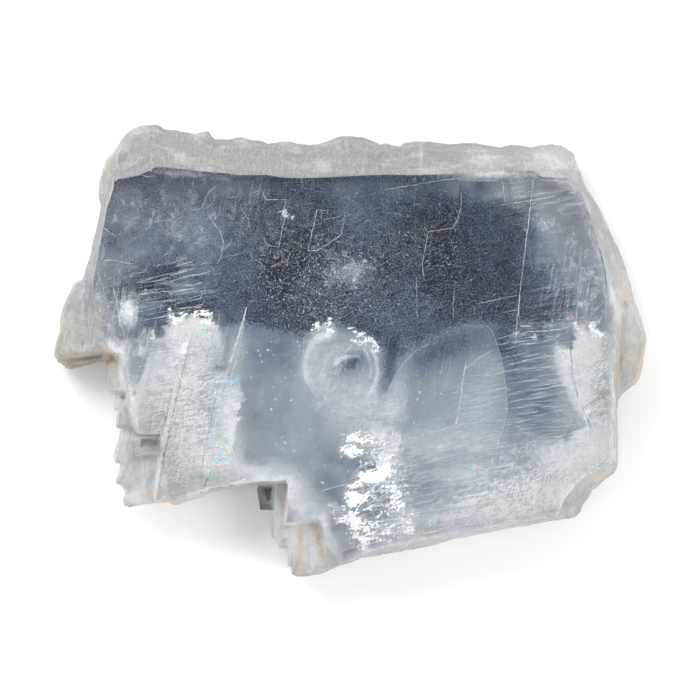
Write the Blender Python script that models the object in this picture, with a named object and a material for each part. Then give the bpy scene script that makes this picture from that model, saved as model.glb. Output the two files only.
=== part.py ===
"""Selenite slab: one clear cleavage plate of gypsum with broken, frosted rims.

The slab lies on its flat back face. X runs along its length, Y across it, Z up through
its thickness, and the origin is at the middle of its base. Outlines are traced on a
ruled sheet laid over the slab: x counts to the right, y counts down, and one step of
the sheet is TRACE_STEP millimetres. All heights are in millimetres above the base.
"""

import math
import random

import bmesh
import bpy
from mathutils import Vector, noise
from mathutils.geometry import delaunay_2d_cdt

# Driving dimensions, in millimetres
LENGTH = 140.0
THICKNESS = 18.0

MM = 0.001
TRACE_LEFT, TRACE_RIGHT = 53.0, 647.0
TRACE_STEP = LENGTH / (TRACE_RIGHT - TRACE_LEFT)
TRACE_MIDDLE = Vector((350.0, 350.5))

EDGE_SPACING = 1.7       # between points along the outline
RIM_SPACING = 1.55       # between points on the rough upper surfaces
FOOT_SPACING = 2.6       # between points on the slope below
FACE_SPACING = 9.0       # between points on the flat cleavage face
CLIFF = 0.16             # each side of a step between two levels
KEEP_CLEAR = 0.6         # between a scattered point and any edge
SEED = 11

# The outline, clockwise from the upper left corner, with the height of its upper edge
TOP_EDGE = [
    (106, 159), (116, 148), (121, 139), (127, 132), (134, 127), (142, 125), (155, 124),
    (160, 126), (163, 129), (175, 130), (187, 132), (195, 134), (200, 132), (208, 131),
    (211, 135), (214, 139), (230, 139), (240, 136.5), (250, 139.5), (259, 140),
    (268, 143.5), (280, 141.5), (290, 141), (296, 143.5), (310, 144.5), (320, 143),
    (328, 141), (335, 138), (341, 136), (352, 135.5), (363, 137), (372, 140),
    (380, 144), (386, 143), (392, 145), (400, 146), (404, 143), (410, 141.5),
    (420, 141), (430, 141.5), (440, 143), (450, 144), (462, 143), (476, 143),
    (488, 145), (501, 147), (512, 144.5), (522, 145.5), (531, 147), (540, 145),
    (553, 144), (562, 145), (568, 149),
]
RIGHT_EDGE = [
    (574, 153), (576, 160), (579, 168), (584, 181), (588, 190), (594, 199), (600, 208),
    (605, 219), (612, 235), (620, 251), (626, 267), (632, 288), (635, 300), (641, 317),
    (645, 330), (647, 340), (645, 355), (643, 367), (640, 378), (636, 384), (630, 388),
    (622, 395),
]
FLANK_EDGE = [(618, 400), (617, 410), (617.5, 430), (618, 460)]
CORNER_EDGE = [
    (617, 470), (614, 474), (605, 480), (599, 486), (593, 490), (588, 499), (583, 506),
    (581, 512), (577, 516),
]
LOWER_EDGE = [
    (570, 518.5), (550, 521), (530, 525), (510, 528), (500, 530), (480, 534),
    (460, 538), (450, 540), (440, 543), (435, 545), (420, 548), (400, 551.5),
    (385, 554), (375, 556), (362, 557.5), (355, 561), (347, 564), (338, 566),
    (330, 570), (320, 574), (308, 576),
]
STAIR_EDGE = [
    (297, 577), (291.5, 575), (291, 568), (288, 566), (288.5, 550), (288, 548.5),
    (279.5, 548.5), (277, 540), (271.5, 537), (272, 525), (273, 510), (260, 510),
    (258.5, 500), (257, 490), (259, 484.5),
]
BLOCK_EDGE = [
    (250, 486), (240, 487.5), (232, 489), (220, 490), (210, 492.5), (203, 496.5),
    (190, 500.5), (180, 503.5), (176, 505), (172, 504), (168, 502), (160, 503),
    (150, 503.5), (140, 505), (130, 507), (124.5, 506),
]
SAW_EDGE = [
    (122, 501), (125, 495), (124, 490), (120, 485), (116, 484), (115, 480), (118, 474),
    (120, 464), (115, 463), (113.5, 458), (115, 450), (118, 440), (120.5, 429),
    (115.5, 427.5), (116, 420), (117.5, 410), (114, 409), (115, 403), (116.5, 395),
    (112, 394), (108, 391), (107, 380), (106, 370), (105.5, 361.5),
]
WING_EDGE = [
    (98, 362), (90, 364), (80, 367), (70, 369), (65, 368), (63, 365.5), (57, 362),
    (53, 354), (53.5, 350), (56, 340), (59, 332), (59, 320), (61, 310), (64, 303),
    (68, 295), (72, 285), (77, 281), (82, 279),
]
LEFT_EDGE = [
    (86, 267), (90, 255), (93, 240), (96, 228), (99, 215), (100.5, 205), (98, 197),
    (98, 190), (100, 176), (104, 166),
]
OUTLINE = [
    (TOP_EDGE, 6.5), (RIGHT_EDGE, 7.0), (FLANK_EDGE, 13.0), (CORNER_EDGE, 7.0),
    (LOWER_EDGE, 11.5), (STAIR_EDGE, 9.0), (BLOCK_EDGE, 12.0), (SAW_EDGE, 8.5),
    (WING_EDGE, 5.5), (LEFT_EDGE, 7.5),
]

# The flat upper cleavage face, clockwise from its upper left corner
FACE = [
    (115, 179), (125, 178), (140, 175), (150, 170), (156, 167), (165, 167), (180, 168.5),
    (200, 171), (225, 173), (240, 175), (270, 175), (280, 177), (300, 178), (330, 177),
    (355, 175.5), (390, 174.5), (420, 175), (440, 174), (455, 174), (480, 172),
    (503, 170), (533, 171), (541, 177), (568, 179), (577, 187), (583, 197), (590, 216),
    (596, 235), (602, 255), (606, 275), (608, 295), (610, 311), (613, 325), (616, 340),
    (614.5, 360), (613.5, 385), (615.5, 400), (614.8, 410), (615.3, 430), (615.8, 461),
    (600, 469), (586, 476.5), (574, 486), (564, 500), (558, 516), (545, 518.5),
    (530, 521), (510, 525), (480, 530.5), (465, 532), (450, 534), (440, 537.5),
    (428, 539.5), (410, 542), (400, 545), (385, 548), (370, 552), (358, 555),
    (350, 559), (342, 562), (339, 560.5), (333, 550), (328, 540), (325, 530),
    (321, 520), (314.5, 519.5), (300, 521.5), (286.5, 523), (287, 510), (288, 496),
    (288.5, 479.5), (275, 481), (262, 481.5), (250, 483), (240, 485), (225, 487.5),
    (210, 490), (200, 494.5), (188, 498.5), (176, 501), (166, 499), (156, 500.5),
    (157.5, 486), (160, 470), (161.5, 452), (161, 434), (150, 434.5), (138, 434),
    (133, 425), (130, 410), (129.5, 400), (127, 390), (125, 378), (123, 365),
    (120, 352), (112, 347), (104, 330), (99, 310), (94, 293), (93, 281), (97, 262),
    (101, 240), (104, 225), (107, 208), (110, 200), (113, 190),
]

# Lower levels that the cleavage has left: outline, height at its first point, and
# how much the level falls for each millimetre to the left and towards the front
TERRACES = {
    "corner_facet": ([
        (120, 152), (118, 164), (110, 172), (102.5, 177), (104.5, 168), (108.5, 160.5),
        (116, 151),
    ], 14.5, 0.9, 0.0),
    "wing_step": ([
        (61, 359.5), (72, 358), (85, 356.5), (103, 354.5), (104, 358), (86, 361),
        (72, 363.5), (66, 364),
    ], 8.6, 0.05, 0.1),
    "saw_upper": ([
        (108, 364), (118, 362), (121, 378), (124, 392), (116.5, 392.5), (112.5, 392),
        (109.5, 389), (108.5, 378),
    ], 15.0, 0.2, 0.0),
    "saw_middle": ([
        (119, 397), (125, 395.5), (127, 404), (130, 418), (131, 425), (122, 426.5),
        (117, 425.5), (118, 418), (119.5, 410), (116.5, 407.5), (117, 401),
    ], 13.6, 0.2, 0.0),
    "right_lobe": ([
        (621, 318), (630, 306), (637, 320), (643, 336), (643.5, 343), (641, 358),
        (639, 370), (636, 378), (630, 384), (624, 388), (619.5, 392), (618, 370),
        (619.5, 345),
    ], 14.2, -0.32, 0.02),
    "wing": ([
        (92, 284), (82, 282), (76, 284.5), (71, 297), (63, 311), (61, 331), (58, 341),
        (56, 351), (58, 357), (72, 355), (85, 353.5), (104, 352), (118, 353),
        (110, 348), (102, 331), (97, 311),
    ], 16.0, 0.55, 0.0),
    "left_corner": ([
        (139, 436.5), (159, 436.5), (159.5, 452), (158, 470), (155.5, 486), (154, 500),
        (141, 503), (127, 504), (124.5, 501), (127, 495), (126, 489), (122, 484),
        (117.5, 481), (120, 474), (122, 464), (117, 460), (117, 450), (120, 441),
        (123, 430), (132, 428),
    ], 13.0, 0.16, 0.05),
    "stair_front": ([
        (290, 525), (300, 523.5), (314, 521.5), (319.5, 522), (323, 531), (326, 541),
        (331, 551), (337, 562), (328, 567), (318, 571), (306, 574), (297, 575),
        (293, 573.5), (292.5, 567), (290, 564.5), (290.5, 549), (291, 540),
    ], 14.5, 0.08, 0.22),
    "stair_middle": ([
        (276, 483.5), (286.5, 482.5), (286, 496), (285, 510), (284.5, 525),
        (288.5, 527), (289, 546.5), (281, 546.5), (279, 539), (273.5, 535),
        (274, 525), (275, 510), (275, 496),
    ], 11.5, 0.0, 0.1),
    "stair_back": ([
        (260.5, 486), (273, 485), (272.5, 496), (271.5, 508), (262, 508),
        (260.5, 500), (259, 490),
    ], 7.5, 0.0, 0.0),
}
SLIT = [(264, 488), (272, 487), (270.5, 499), (266.5, 502)]
SLIT_DEPTH = 4.5
WINDOW = [(141, 438), (157, 438), (157, 446), (140, 448)]
WINDOW_DEPTH = 2.2

# Shallow ledges on the upper face: outline and depth below it
LEDGES = [
    ([
        (506, 173), (532, 174), (542, 180), (567, 182), (574, 189), (580, 199),
        (587, 217), (593, 236), (599, 256), (603, 276), (605, 296), (606, 312),
        (598, 322), (580, 321), (560, 325), (536, 322), (520, 326), (518, 312),
        (520, 290), (523.5, 256), (527, 228), (530.5, 203), (506, 206.5),
    ], 0.45),
    ([
        (189, 336), (186, 360), (181, 388), (175, 412), (170, 436), (165, 458),
        (163, 480), (161, 497), (166, 496), (178, 497.5), (190, 494.5), (205, 489),
        (226, 484), (246, 480.5), (246, 464), (226, 440), (214, 405), (216, 372),
        (208, 345),
    ], 0.35),
    ([
        (586, 410), (600, 403.5), (611.5, 398.5), (612.5, 412), (613.5, 431),
        (613.5, 459.5), (600, 466.5), (594, 452), (591.5, 436),
    ], 0.3),
]

# Roughness of the surfaces: height of the lumps, and their size along X and Y
RIM_ROUGHNESS = (0.55, 3.2, 2.4)
FIBRE_ROUGHNESS = (0.5, 1.1, 9.0)
FIBRE_LEAN = math.radians(9)

# The flat cleavage face that the slab rests on, inside a broken slope
BASE = [
    (113, 168), (124, 150), (133, 138), (150, 133), (175, 139), (205, 141), (250, 149),
    (300, 154), (352, 146), (390, 153), (430, 151), (500, 156), (556, 153), (566, 172),
    (582, 205), (603, 252), (622, 305), (630, 342), (627, 370), (608, 388), (606, 430),
    (606, 458), (590, 475), (574, 492), (566, 508), (500, 519), (440, 532), (380, 543),
    (338, 553), (306, 563), (300, 540), (283, 528), (283, 502), (264, 500), (262, 476),
    (220, 481), (180, 494), (137, 496), (132, 470), (130, 430), (127, 392), (117, 384),
    (114, 352), (90, 352), (70, 355), (66, 343), (70, 318), (84, 292), (97, 262),
    (104, 228), (109, 197),
]
BASE_STEPS = [
    ([
        (121, 157), (136, 142), (176, 143), (252, 153), (301, 158), (352, 150),
        (351, 163), (300, 171), (240, 168), (196, 176), (150, 171), (128, 176),
    ], 0.7),
    ([
        (604, 395), (602, 430), (602, 456), (587, 471), (571, 489), (540, 501),
        (528, 470), (556, 452), (572, 424), (580, 398),
    ], 0.5),
]
FOOT_HEIGHT = 2.2        # of the outline's lower edge

# Bands of the broken side walls: how far down each lies, and how deep it is cut in
LAMINAE = [(0.62, 0.04), (0.68, 0.30), (0.90, 0.22)]
LAMINA_RUN = 7.0


def on_sheet(points):
    """Traced points as millimetres from the slab's middle."""
    return [
        Vector(((x - TRACE_MIDDLE.x) * TRACE_STEP, (TRACE_MIDDLE.y - y) * TRACE_STEP))
        for x, y in points
    ]


def signed_area(loop):
    return sum(a.cross(b) for a, b in zip(loop, loop[1:] + loop[:1])) / 2


def inset_point(loop, i, distance):
    """One corner of a loop moved inwards along its own bisector."""
    side = 1 if signed_area(loop) > 0 else -1
    before, here, after = loop[i - 1], loop[i], loop[(i + 1) % len(loop)]
    first = (here - before).normalized()
    second = (after - here).normalized()
    normal = Vector((-first.y - second.y, first.x + second.x)) * side
    if normal.length < 1e-6:
        normal = Vector((-first.y, first.x)) * side
    return here + normal.normalized() * distance


def inset(loop, distance):
    return [inset_point(loop, i, distance) for i in range(len(loop))]


def resample(points, spacing, closed=True):
    """Points added along each straight stretch, so that none is longer than spacing."""
    ends = zip(points, points[1:] + points[:1]) if closed else zip(points, points[1:])
    finer = []
    for start, end in ends:
        count = max(1, math.ceil((end - start).length / spacing))
        finer.extend(start.lerp(end, i / count) for i in range(count))
    return finer


def is_inside(point, loop):
    crossings = False
    for a, b in zip(loop, loop[1:] + loop[:1]):
        if (a.y > point.y) != (b.y > point.y):
            if point.x < (b.x - a.x) * (point.y - a.y) / (b.y - a.y) + a.x:
                crossings = not crossings
    return crossings


def distance_to(point, loop):
    nearest = math.inf
    for a, b in zip(loop, loop[1:] + loop[:1]):
        along = b - a
        share = min(1.0, max(0.0, (point - a).dot(along) / along.length_squared))
        nearest = min(nearest, (point - a - along * share).length)
    return nearest


def lumps(point, roughness, lean=0.0):
    """Height of a rough surface at a point: fractal noise stretched along one way."""
    height, size_x, size_y = roughness
    x = point.x * math.cos(lean) - point.y * math.sin(lean)
    y = point.x * math.sin(lean) + point.y * math.cos(lean)
    place = Vector((x / size_x, y / size_y, height * 7))
    return height * noise.fractal(place, 0.9, 2.1, 3)


class Levels:
    """The slab seen from above: its outline, its levels and the height at any point."""

    def __init__(self):
        self.outline, self.edge_heights = self.traced_outline()
        self.face = on_sheet(FACE)
        self.terraces = [
            (on_sheet(loop), height, fall_x, fall_y)
            for loop, height, fall_x, fall_y in TERRACES.values()
        ]
        self.slit = on_sheet(SLIT)
        self.window = on_sheet(WINDOW)
        self.ledges = [(on_sheet(loop), depth) for loop, depth in LEDGES]

    def traced_outline(self):
        """The outline's points and the height of the upper edge at each."""
        corners, heights = [], []
        for edge, height in OUTLINE:
            corners += on_sheet(edge)
            heights += [height] * len(edge)
        points, edge_heights = [], []
        for i, start in enumerate(corners):
            after = (i + 1) % len(corners)
            count = max(1, math.ceil((corners[after] - start).length / EDGE_SPACING))
            for k in range(count):
                share = k / count
                point = start.lerp(corners[after], share)
                height = heights[i] + (heights[after] - heights[i]) * share
                points.append(point)
                edge_heights.append(height + lumps(point * 1.7, RIM_ROUGHNESS))
        return points, edge_heights

    def fibre_height(self, point):
        return lumps(point, FIBRE_ROUGHNESS, FIBRE_LEAN)

    def edge_height(self, point):
        """The height of the outline's upper edge nearest to a point."""
        nearest = min(
            range(len(self.outline)),
            key=lambda i: (self.outline[i] - point).length_squared,
        )
        return self.edge_heights[nearest]

    def rim_height(self, point):
        """A rough slope from the face's edge down to the outline."""
        outside = distance_to(point, self.outline)
        inside = distance_to(point, self.face)
        share = outside / max(outside + inside, 1e-6)
        low = self.edge_height(point)
        rough = lumps(point, RIM_ROUGHNESS) + 0.6 * self.fibre_height(point)
        swell = min(1.0, 5 * share * (1 - share))
        return low + (THICKNESS - low) * share ** 0.85 + rough * 1.6 * swell

    def terrace_height(self, point, terrace):
        loop, height, fall_x, fall_y = terrace
        left = loop[0].x - point.x
        front = loop[0].y - point.y
        level = height - fall_x * left - fall_y * front + self.fibre_height(point)
        if is_inside(point, self.slit):
            level -= SLIT_DEPTH
        if is_inside(point, self.window):
            level -= WINDOW_DEPTH
        return level

    def face_height(self, point):
        for loop, depth in self.ledges:
            if is_inside(point, loop):
                return THICKNESS - depth
        return THICKNESS

    def height(self, point):
        if is_inside(point, self.face):
            return self.face_height(point)
        for terrace in self.terraces:
            if is_inside(point, terrace[0]):
                return min(self.terrace_height(point, terrace), THICKNESS - 0.3)
        return min(self.rim_height(point), THICKNESS - 0.1)

    def is_rough(self, point):
        return not is_inside(point, self.face)

    def step_loops(self):
        """Closed lines that both sides of every step between two levels follow."""
        spaced = [resample(self.face, 2 * EDGE_SPACING)]
        spaced += [resample(t[0], 2 * EDGE_SPACING) for t in self.terraces]
        shallow = [loop for loop, _ in self.ledges] + [self.slit, self.window]
        for loop in shallow:
            spaced.append(inset(loop, -CLIFF))
        return [inset(loop, CLIFF) for loop in spaced] + [
            inset(loop, CLIFF) for loop in shallow
        ]


class Underside:
    """The slab seen from below: a flat foot with low steps, inside a broken slope."""

    def __init__(self, levels):
        self.outline = levels.outline
        self.foot = on_sheet(BASE)
        self.steps = [(on_sheet(loop), depth) for loop, depth in BASE_STEPS]
        self.edge_heights = [
            FOOT_HEIGHT + lumps(point * 1.3, RIM_ROUGHNESS) for point in self.outline
        ]

    def height(self, point):
        if is_inside(point, self.foot):
            for loop, depth in self.steps:
                if is_inside(point, loop):
                    return depth
            return 0.0
        outside = distance_to(point, self.outline)
        inside = distance_to(point, self.foot)
        share = inside / max(outside + inside, 1e-6)
        rough = lumps(point, RIM_ROUGHNESS) * min(1.0, 5 * share * (1 - share))
        return max(0.15, FOOT_HEIGHT * share + rough)

    def is_rough(self, point):
        return not is_inside(point, self.foot)

    def step_loops(self):
        loops = [resample(self.foot, 2 * EDGE_SPACING)]
        for loop, _ in self.steps:
            loops += [inset(loop, -CLIFF), inset(loop, CLIFF)]
        return loops


def scatter(side, loops, rough_spacing):
    """Points on a jittered grid, close on rough surfaces and far apart on flat ones."""
    chance = random.Random(SEED)
    found = []
    for spacing, rough in ((rough_spacing, True), (FACE_SPACING, False)):
        reach = int(LENGTH / 2 / spacing) + 1
        for i in range(-reach, reach + 1):
            for j in range(-reach, reach + 1):
                jitter = Vector((chance.uniform(-0.3, 0.3), chance.uniform(-0.3, 0.3)))
                point = (Vector((i, j)) + jitter) * spacing
                if not is_inside(point, side.outline):
                    continue
                if side.is_rough(point) != rough:
                    continue
                if min(distance_to(point, loop) for loop in loops) > KEEP_CLEAR:
                    found.append(point)
    return found


def add_surface(solid, side, rough_spacing):
    """One side of the slab, as a sheet of triangles. Gives back its outer ring."""
    loops = side.step_loops()
    points = list(side.outline)
    edges = []
    for loop in loops:
        first = len(points)
        points += loop
        count = len(loop)
        edges += [(first + i, first + (i + 1) % count) for i in range(count)]
    points += scatter(side, [side.outline] + loops, rough_spacing)
    outline = [list(range(len(side.outline)))]
    flat, _, faces, origins, _, _ = delaunay_2d_cdt(points, edges, outline, 1, 1e-5)
    corners = [Vector((p.x, p.y, side.height(p))) for p in flat]
    ring = [None] * len(side.outline)
    for new, old_ones in enumerate(origins):
        for old in old_ones:
            if old < len(ring):
                ring[old] = new
                corners[new].z = side.edge_heights[old]
    sheet = [solid.verts.new(corner) for corner in corners]
    for face in faces:
        solid.faces.new([sheet[i] for i in face])
    return [sheet[i] for i in ring]


def add_walls(solid, levels, above, foot_ring):
    """Walls between two rings of corners, broken along the slab's thin layers."""
    bands = []
    for number, (share, depth) in enumerate(LAMINAE):
        band = []
        for i, (upper, lower) in enumerate(zip(above, foot_ring)):
            place = Vector((upper.co.x, upper.co.y, 40.0 * number)) / LAMINA_RUN
            cut = depth * (0.5 + 0.5 * noise.noise(place))
            flat = inset_point(levels.outline, i, cut)
            height = upper.co.z + (lower.co.z - upper.co.z) * share
            band.append(solid.verts.new((flat.x, flat.y, height)))
        bands.append(band)
    bands.append(foot_ring)
    for band in bands:
        for i in range(len(band)):
            after = (i + 1) % len(band)
            solid.faces.new((above[i], above[after], band[after], band[i]))
        above = band


def build_solid(levels):
    """The closed slab as a bmesh in millimetres: top, broken walls and underside."""
    solid = bmesh.new()
    above = add_surface(solid, levels, RIM_SPACING)
    below = add_surface(solid, Underside(levels), FOOT_SPACING)
    add_walls(solid, levels, above, below)
    bmesh.ops.triangulate(solid, faces=[f for f in solid.faces if len(f.verts) > 3])
    bmesh.ops.recalc_face_normals(solid, faces=solid.faces)
    return solid


def clear_scene():
    for thing in list(bpy.data.objects):
        bpy.data.objects.remove(thing)


def clear_crystal():
    """The slab's finish: clear, faintly blue-grey gypsum."""
    finish = bpy.data.materials.new("clear_selenite")
    finish.use_nodes = True
    shader = finish.node_tree.nodes["Principled BSDF"]
    shader.inputs["Base Color"].default_value = (0.80, 0.84, 0.87, 1.0)
    shader.inputs["Roughness"].default_value = 0.12
    shader.inputs["Metallic"].default_value = 0.0
    shader.inputs["Transmission Weight"].default_value = 0.9
    shader.inputs["IOR"].default_value = 1.52
    return finish


def main():
    clear_scene()
    solid = build_solid(Levels())
    bmesh.ops.scale(solid, vec=(MM, MM, MM), verts=solid.verts)
    mesh = bpy.data.meshes.new("selenite_slab")
    solid.to_mesh(mesh)
    solid.free()
    slab = bpy.data.objects.new("selenite_slab", mesh)
    bpy.context.scene.collection.objects.link(slab)
    slab.data.materials.append(clear_crystal())


main()
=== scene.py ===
"""A clear selenite slab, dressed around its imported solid.

Lengths are in metres. Points written as (across, down) are steps of the ruled sheet that
the slab was traced on, and heights in millimetres above its base: see on_slab.
"""

import math
import random

import bmesh
import bpy
import numpy as np
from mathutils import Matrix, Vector, noise
from mathutils.bvhtree import BVHTree
from mathutils.geometry import delaunay_2d_cdt
from mathutils.kdtree import KDTree


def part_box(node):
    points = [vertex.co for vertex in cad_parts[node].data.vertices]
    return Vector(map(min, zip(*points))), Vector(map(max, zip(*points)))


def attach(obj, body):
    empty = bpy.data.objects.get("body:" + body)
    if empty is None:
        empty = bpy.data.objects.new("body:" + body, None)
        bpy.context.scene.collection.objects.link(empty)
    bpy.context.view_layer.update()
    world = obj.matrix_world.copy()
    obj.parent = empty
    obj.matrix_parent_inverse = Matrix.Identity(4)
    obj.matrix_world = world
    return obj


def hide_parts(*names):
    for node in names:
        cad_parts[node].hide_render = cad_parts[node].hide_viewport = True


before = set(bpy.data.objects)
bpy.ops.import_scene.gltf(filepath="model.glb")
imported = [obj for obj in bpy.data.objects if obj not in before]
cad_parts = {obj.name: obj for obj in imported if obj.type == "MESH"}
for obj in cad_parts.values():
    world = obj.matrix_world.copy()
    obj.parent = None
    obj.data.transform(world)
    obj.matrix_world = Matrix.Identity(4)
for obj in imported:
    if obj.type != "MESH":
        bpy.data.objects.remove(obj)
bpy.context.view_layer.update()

MM = 0.001
SLAB_LENGTH = 0.140
TRACE_LEFT, TRACE_RIGHT = 53.0, 647.0
STEP = SLAB_LENGTH / (TRACE_RIGHT - TRACE_LEFT)
SHEET_MIDDLE = (350.0, 350.5)
SEED = 23

CRYSTAL_IOR = 1.52
PER_MM = (1 / MM,) * 3
PER_SQUARE_CM = 1e4

# Heights above the base, in millimetres: of the clear faces, then of what lies inside
UPPER_LEVELS = (18.0, 17.55, 17.65, 17.7)
LEVEL_SLACK = 0.002
LOWER_FACE_BELOW = 0.75
CRACK_TOP, CRACK_DEPTH = 17.45, 0.7
SCRATCH_HEIGHT = 17.25
CREASE_TOP, CREASE_DEPTH = 17.2, 0.4
RAINBOW_HEIGHT = 17.0
FILM_HEIGHTS = {
    "face_film": 16.7, "hollow_leaf_painted_light": 13.4, "front_white_film": 8.5,
    "left_white_film": 8.0, "right_white_film": 7.0,
}
SILVER_HEIGHT = 9.0

# The slab's own mesh. A face's number is that of its finish, and sizes are in millimetres
UPPER, LOWER, BROKEN = 0, 1, 2
TILE_SPACING = (0.9, 0.7)         # of the upper and of the lower clear face
TILE_JITTER = 0.15                # as a share of that spacing
# The longest edge that each cut leaves, and whether it keeps off the clear faces
LONGEST_EDGES = ((1.5, False), (0.95, True), (0.75, True))
# Height, size and seed of the lumps on broken faces
COARSE_LUMPS = (0.13, 2.0, 3.1)
FINE_LUMPS = (0.08, 0.8, 7.7)
SHARP_ANGLE = 34                  # in degrees

# The sheets and lines inside the crystal, in steps
FILM_SPACING, FLAKE_SPACING, SPOT_SPACING = 2.0, 1.4, 1.6
SHEET_REACH = 4.0                 # how far a sheet goes past its outline
WHOLE_SHEET = 6.0                 # added where a film isn't torn along its edge
BORDER_WIDTH = 5.0                # how far the frosted border reaches into the face
CRUMB_DEPTH = -2.2                # how little of the silver patch lies between its flakes
SPOT_REACH = 2.2                  # how far a rainbow spot's sheet goes, in the spot's sizes
LINE_PART, LINE_WAVER = 2.5, 0.15
SIDE_CRACK_SPACING, SIDE_CRACK_WIDTH = 9.0, 0.28
WIDEST_WITH_SIDE_CRACKS = 0.41
CLEAVAGE_ANGLES = (-10, 80, 170, 260)
WAVE_SIZE = 9.0                   # of the waves in a sheet, in millimetres
ARC_FADE = 22                     # at the ends of a curved band, in degrees

FLOOR_HEIGHT, FLOOR_HALF = -0.0006, 1.5
FIELD_WIDTH = 0.16498
LENS, SENSOR = 500.0, 36.0
CAMERA_PLACE = (0.0, 0.00012, 0.012 + FIELD_WIDTH / SENSOR * LENS)
LAMP_SIZE = 0.5
LAMPS = (("key_light", (-0.5, 0.6, 0.7), 7.0), ("fill_light", (0.7, -0.3, 0.6), 3.5))

# ---------------------------------------------------------------- where things are

# A mark is a soft oval: across and down, its reach both ways, its turn in degrees, and how
# much it changes what it is painted on. Marks add up.

# Where the slab looks dark, because nothing behind it throws light back
DARK_FIELD = [
    (104, 172), (125, 170), (140, 166), (160, 160), (190, 162), (258, 167), (345, 168),
    (445, 168), (505, 162), (530, 170), (534, 190), (534, 212), (540, 232), (552, 254),
    (566, 280), (572, 306), (556, 318), (540, 324), (516, 330), (500, 324), (485, 324),
    (470, 323), (455, 327), (440, 333), (425, 341), (410, 349), (398, 353), (385, 350),
    (370, 339), (352, 329), (335, 321), (318, 328), (300, 336), (285, 332), (265, 327),
    (250, 324), (235, 325), (215, 327), (200, 322), (186, 327), (165, 331), (150, 329),
    (135, 318), (118, 300), (100, 292), (93, 275), (96, 240), (100, 205),
]
# How dark the lower face is inside that field, and outside it
DARK_BLOTS = [
    (102, 272, 10, 14, 0, -0.2), (110, 271, 21, 14, 0, -0.29), (112, 285, 12, 14, 0, -0.1),
    (118, 250, 22, 40, 10, -0.1), (120, 195, 20, 14, 0, -0.09), (120, 225, 10, 20, 10, -0.05),
    (120, 255, 24, 16, 0, -0.09), (135, 268, 20, 8, 0, 0.08), (140, 292, 10, 8, 0, 0.08),
    (142, 250, 16, 12, 0, -0.12), (150, 210, 12, 22, 6, 0.12), (150, 215, 70, 45, 0, -0.23),
    (150, 286, 16, 5, -10, 0.55), (150, 311, 18, 14, 0, -0.37), (160, 218, 16, 18, 0, 0.09),
    (170, 270, 20, 6, -12, 0.22), (176, 216, 5, 26, 16, 0.07), (180, 305, 18, 8, -10, 0.2),
    (184, 290, 16, 11, 0, -0.32), (190, 235, 45, 35, 0, -0.15), (200, 292, 22, 22, 0, -0.1),
    (200, 306, 16, 12, 0, 0.11), (214, 250, 5, 18, -10, 0.08), (221, 311, 12, 12, 0, -0.2),
    (222, 270, 26, 14, 0, -0.06), (230, 180, 60, 10, 0, -0.1), (237, 188, 46, 10, 0, -0.24),
    (240, 262, 30, 26, 0, -0.1), (245, 215, 20, 24, 0, -0.04), (246, 192, 20, 10, 0, -0.08),
    (278, 262, 24, 24, 0, 0.2), (279, 271, 15, 18, 0, 0.12), (280, 208, 12, 10, 0, -0.07),
    (280, 282, 18, 24, 0, 0.09), (292, 270, 20, 26, 0, 0.12), (300, 240, 40, 26, 0, 0.09),
    (300, 305, 30, 14, 0, 0.07), (300, 322, 30, 8, 0, 0.08), (310, 295, 26, 10, 0, -0.05),
    (312, 232, 21, 14, 0, 0.11), (325, 195, 34, 14, 0, -0.04), (330, 305, 20, 12, 0, 0.08),
    (338, 191, 14, 10, 0, -0.08), (342, 188, 49, 10, 0, -0.26), (348, 326, 22, 8, 0, 0.12),
    (350, 270, 22, 12, -10, -0.22), (353, 216, 20, 21, 0, -0.17), (372, 260, 19, 18, 0, 0.14),
    (375, 185, 30, 10, 0, -0.1), (385, 210, 40, 26, 0, -0.12), (400, 196, 20, 12, 0, -0.06),
    (400, 318, 40, 12, -10, -0.06), (405, 285, 16, 40, 8, -0.08), (420, 190, 12, 8, 0, -0.1),
    (420, 212, 16, 14, 0, 0.08), (420, 310, 12, 12, 0, -0.1), (430, 270, 50, 30, 0, 0.08),
    (431, 243, 32, 31, 0, 0.26), (440, 232, 26, 12, 0, 0.05), (444, 261, 15, 17, 0, 0.12),
    (450, 178, 40, 8, 0, -0.06), (450, 188, 46, 10, 0, -0.26), (455, 215, 34, 24, 0, 0.08),
    (460, 312, 30, 14, 0, 0.1), (472, 190, 24, 11, 0, -0.57), (472, 285, 34, 28, 0, 0.1),
    (480, 191, 13, 10, 0, -0.21), (492, 206, 16, 16, 0, -0.1), (496, 191, 15, 12, 0, -0.27),
    (500, 214, 12, 16, 0, -0.07), (500, 270, 12, 16, 0, 0.06), (505, 255, 12, 30, 6, 0.14),
    (515, 192, 12, 14, 0, -0.3), (535, 225, 12, 20, 0, -0.2), (540, 208, 10, 12, 0, 0.07),
    (540, 314, 18, 12, 0, 0.24), (543, 250, 14, 14, 0, -0.24), (552, 285, 18, 36, -12, -0.22),
    (556, 192, 22, 12, 0, -0.09), (580, 232, 12, 16, 0, -0.07),
]
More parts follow.
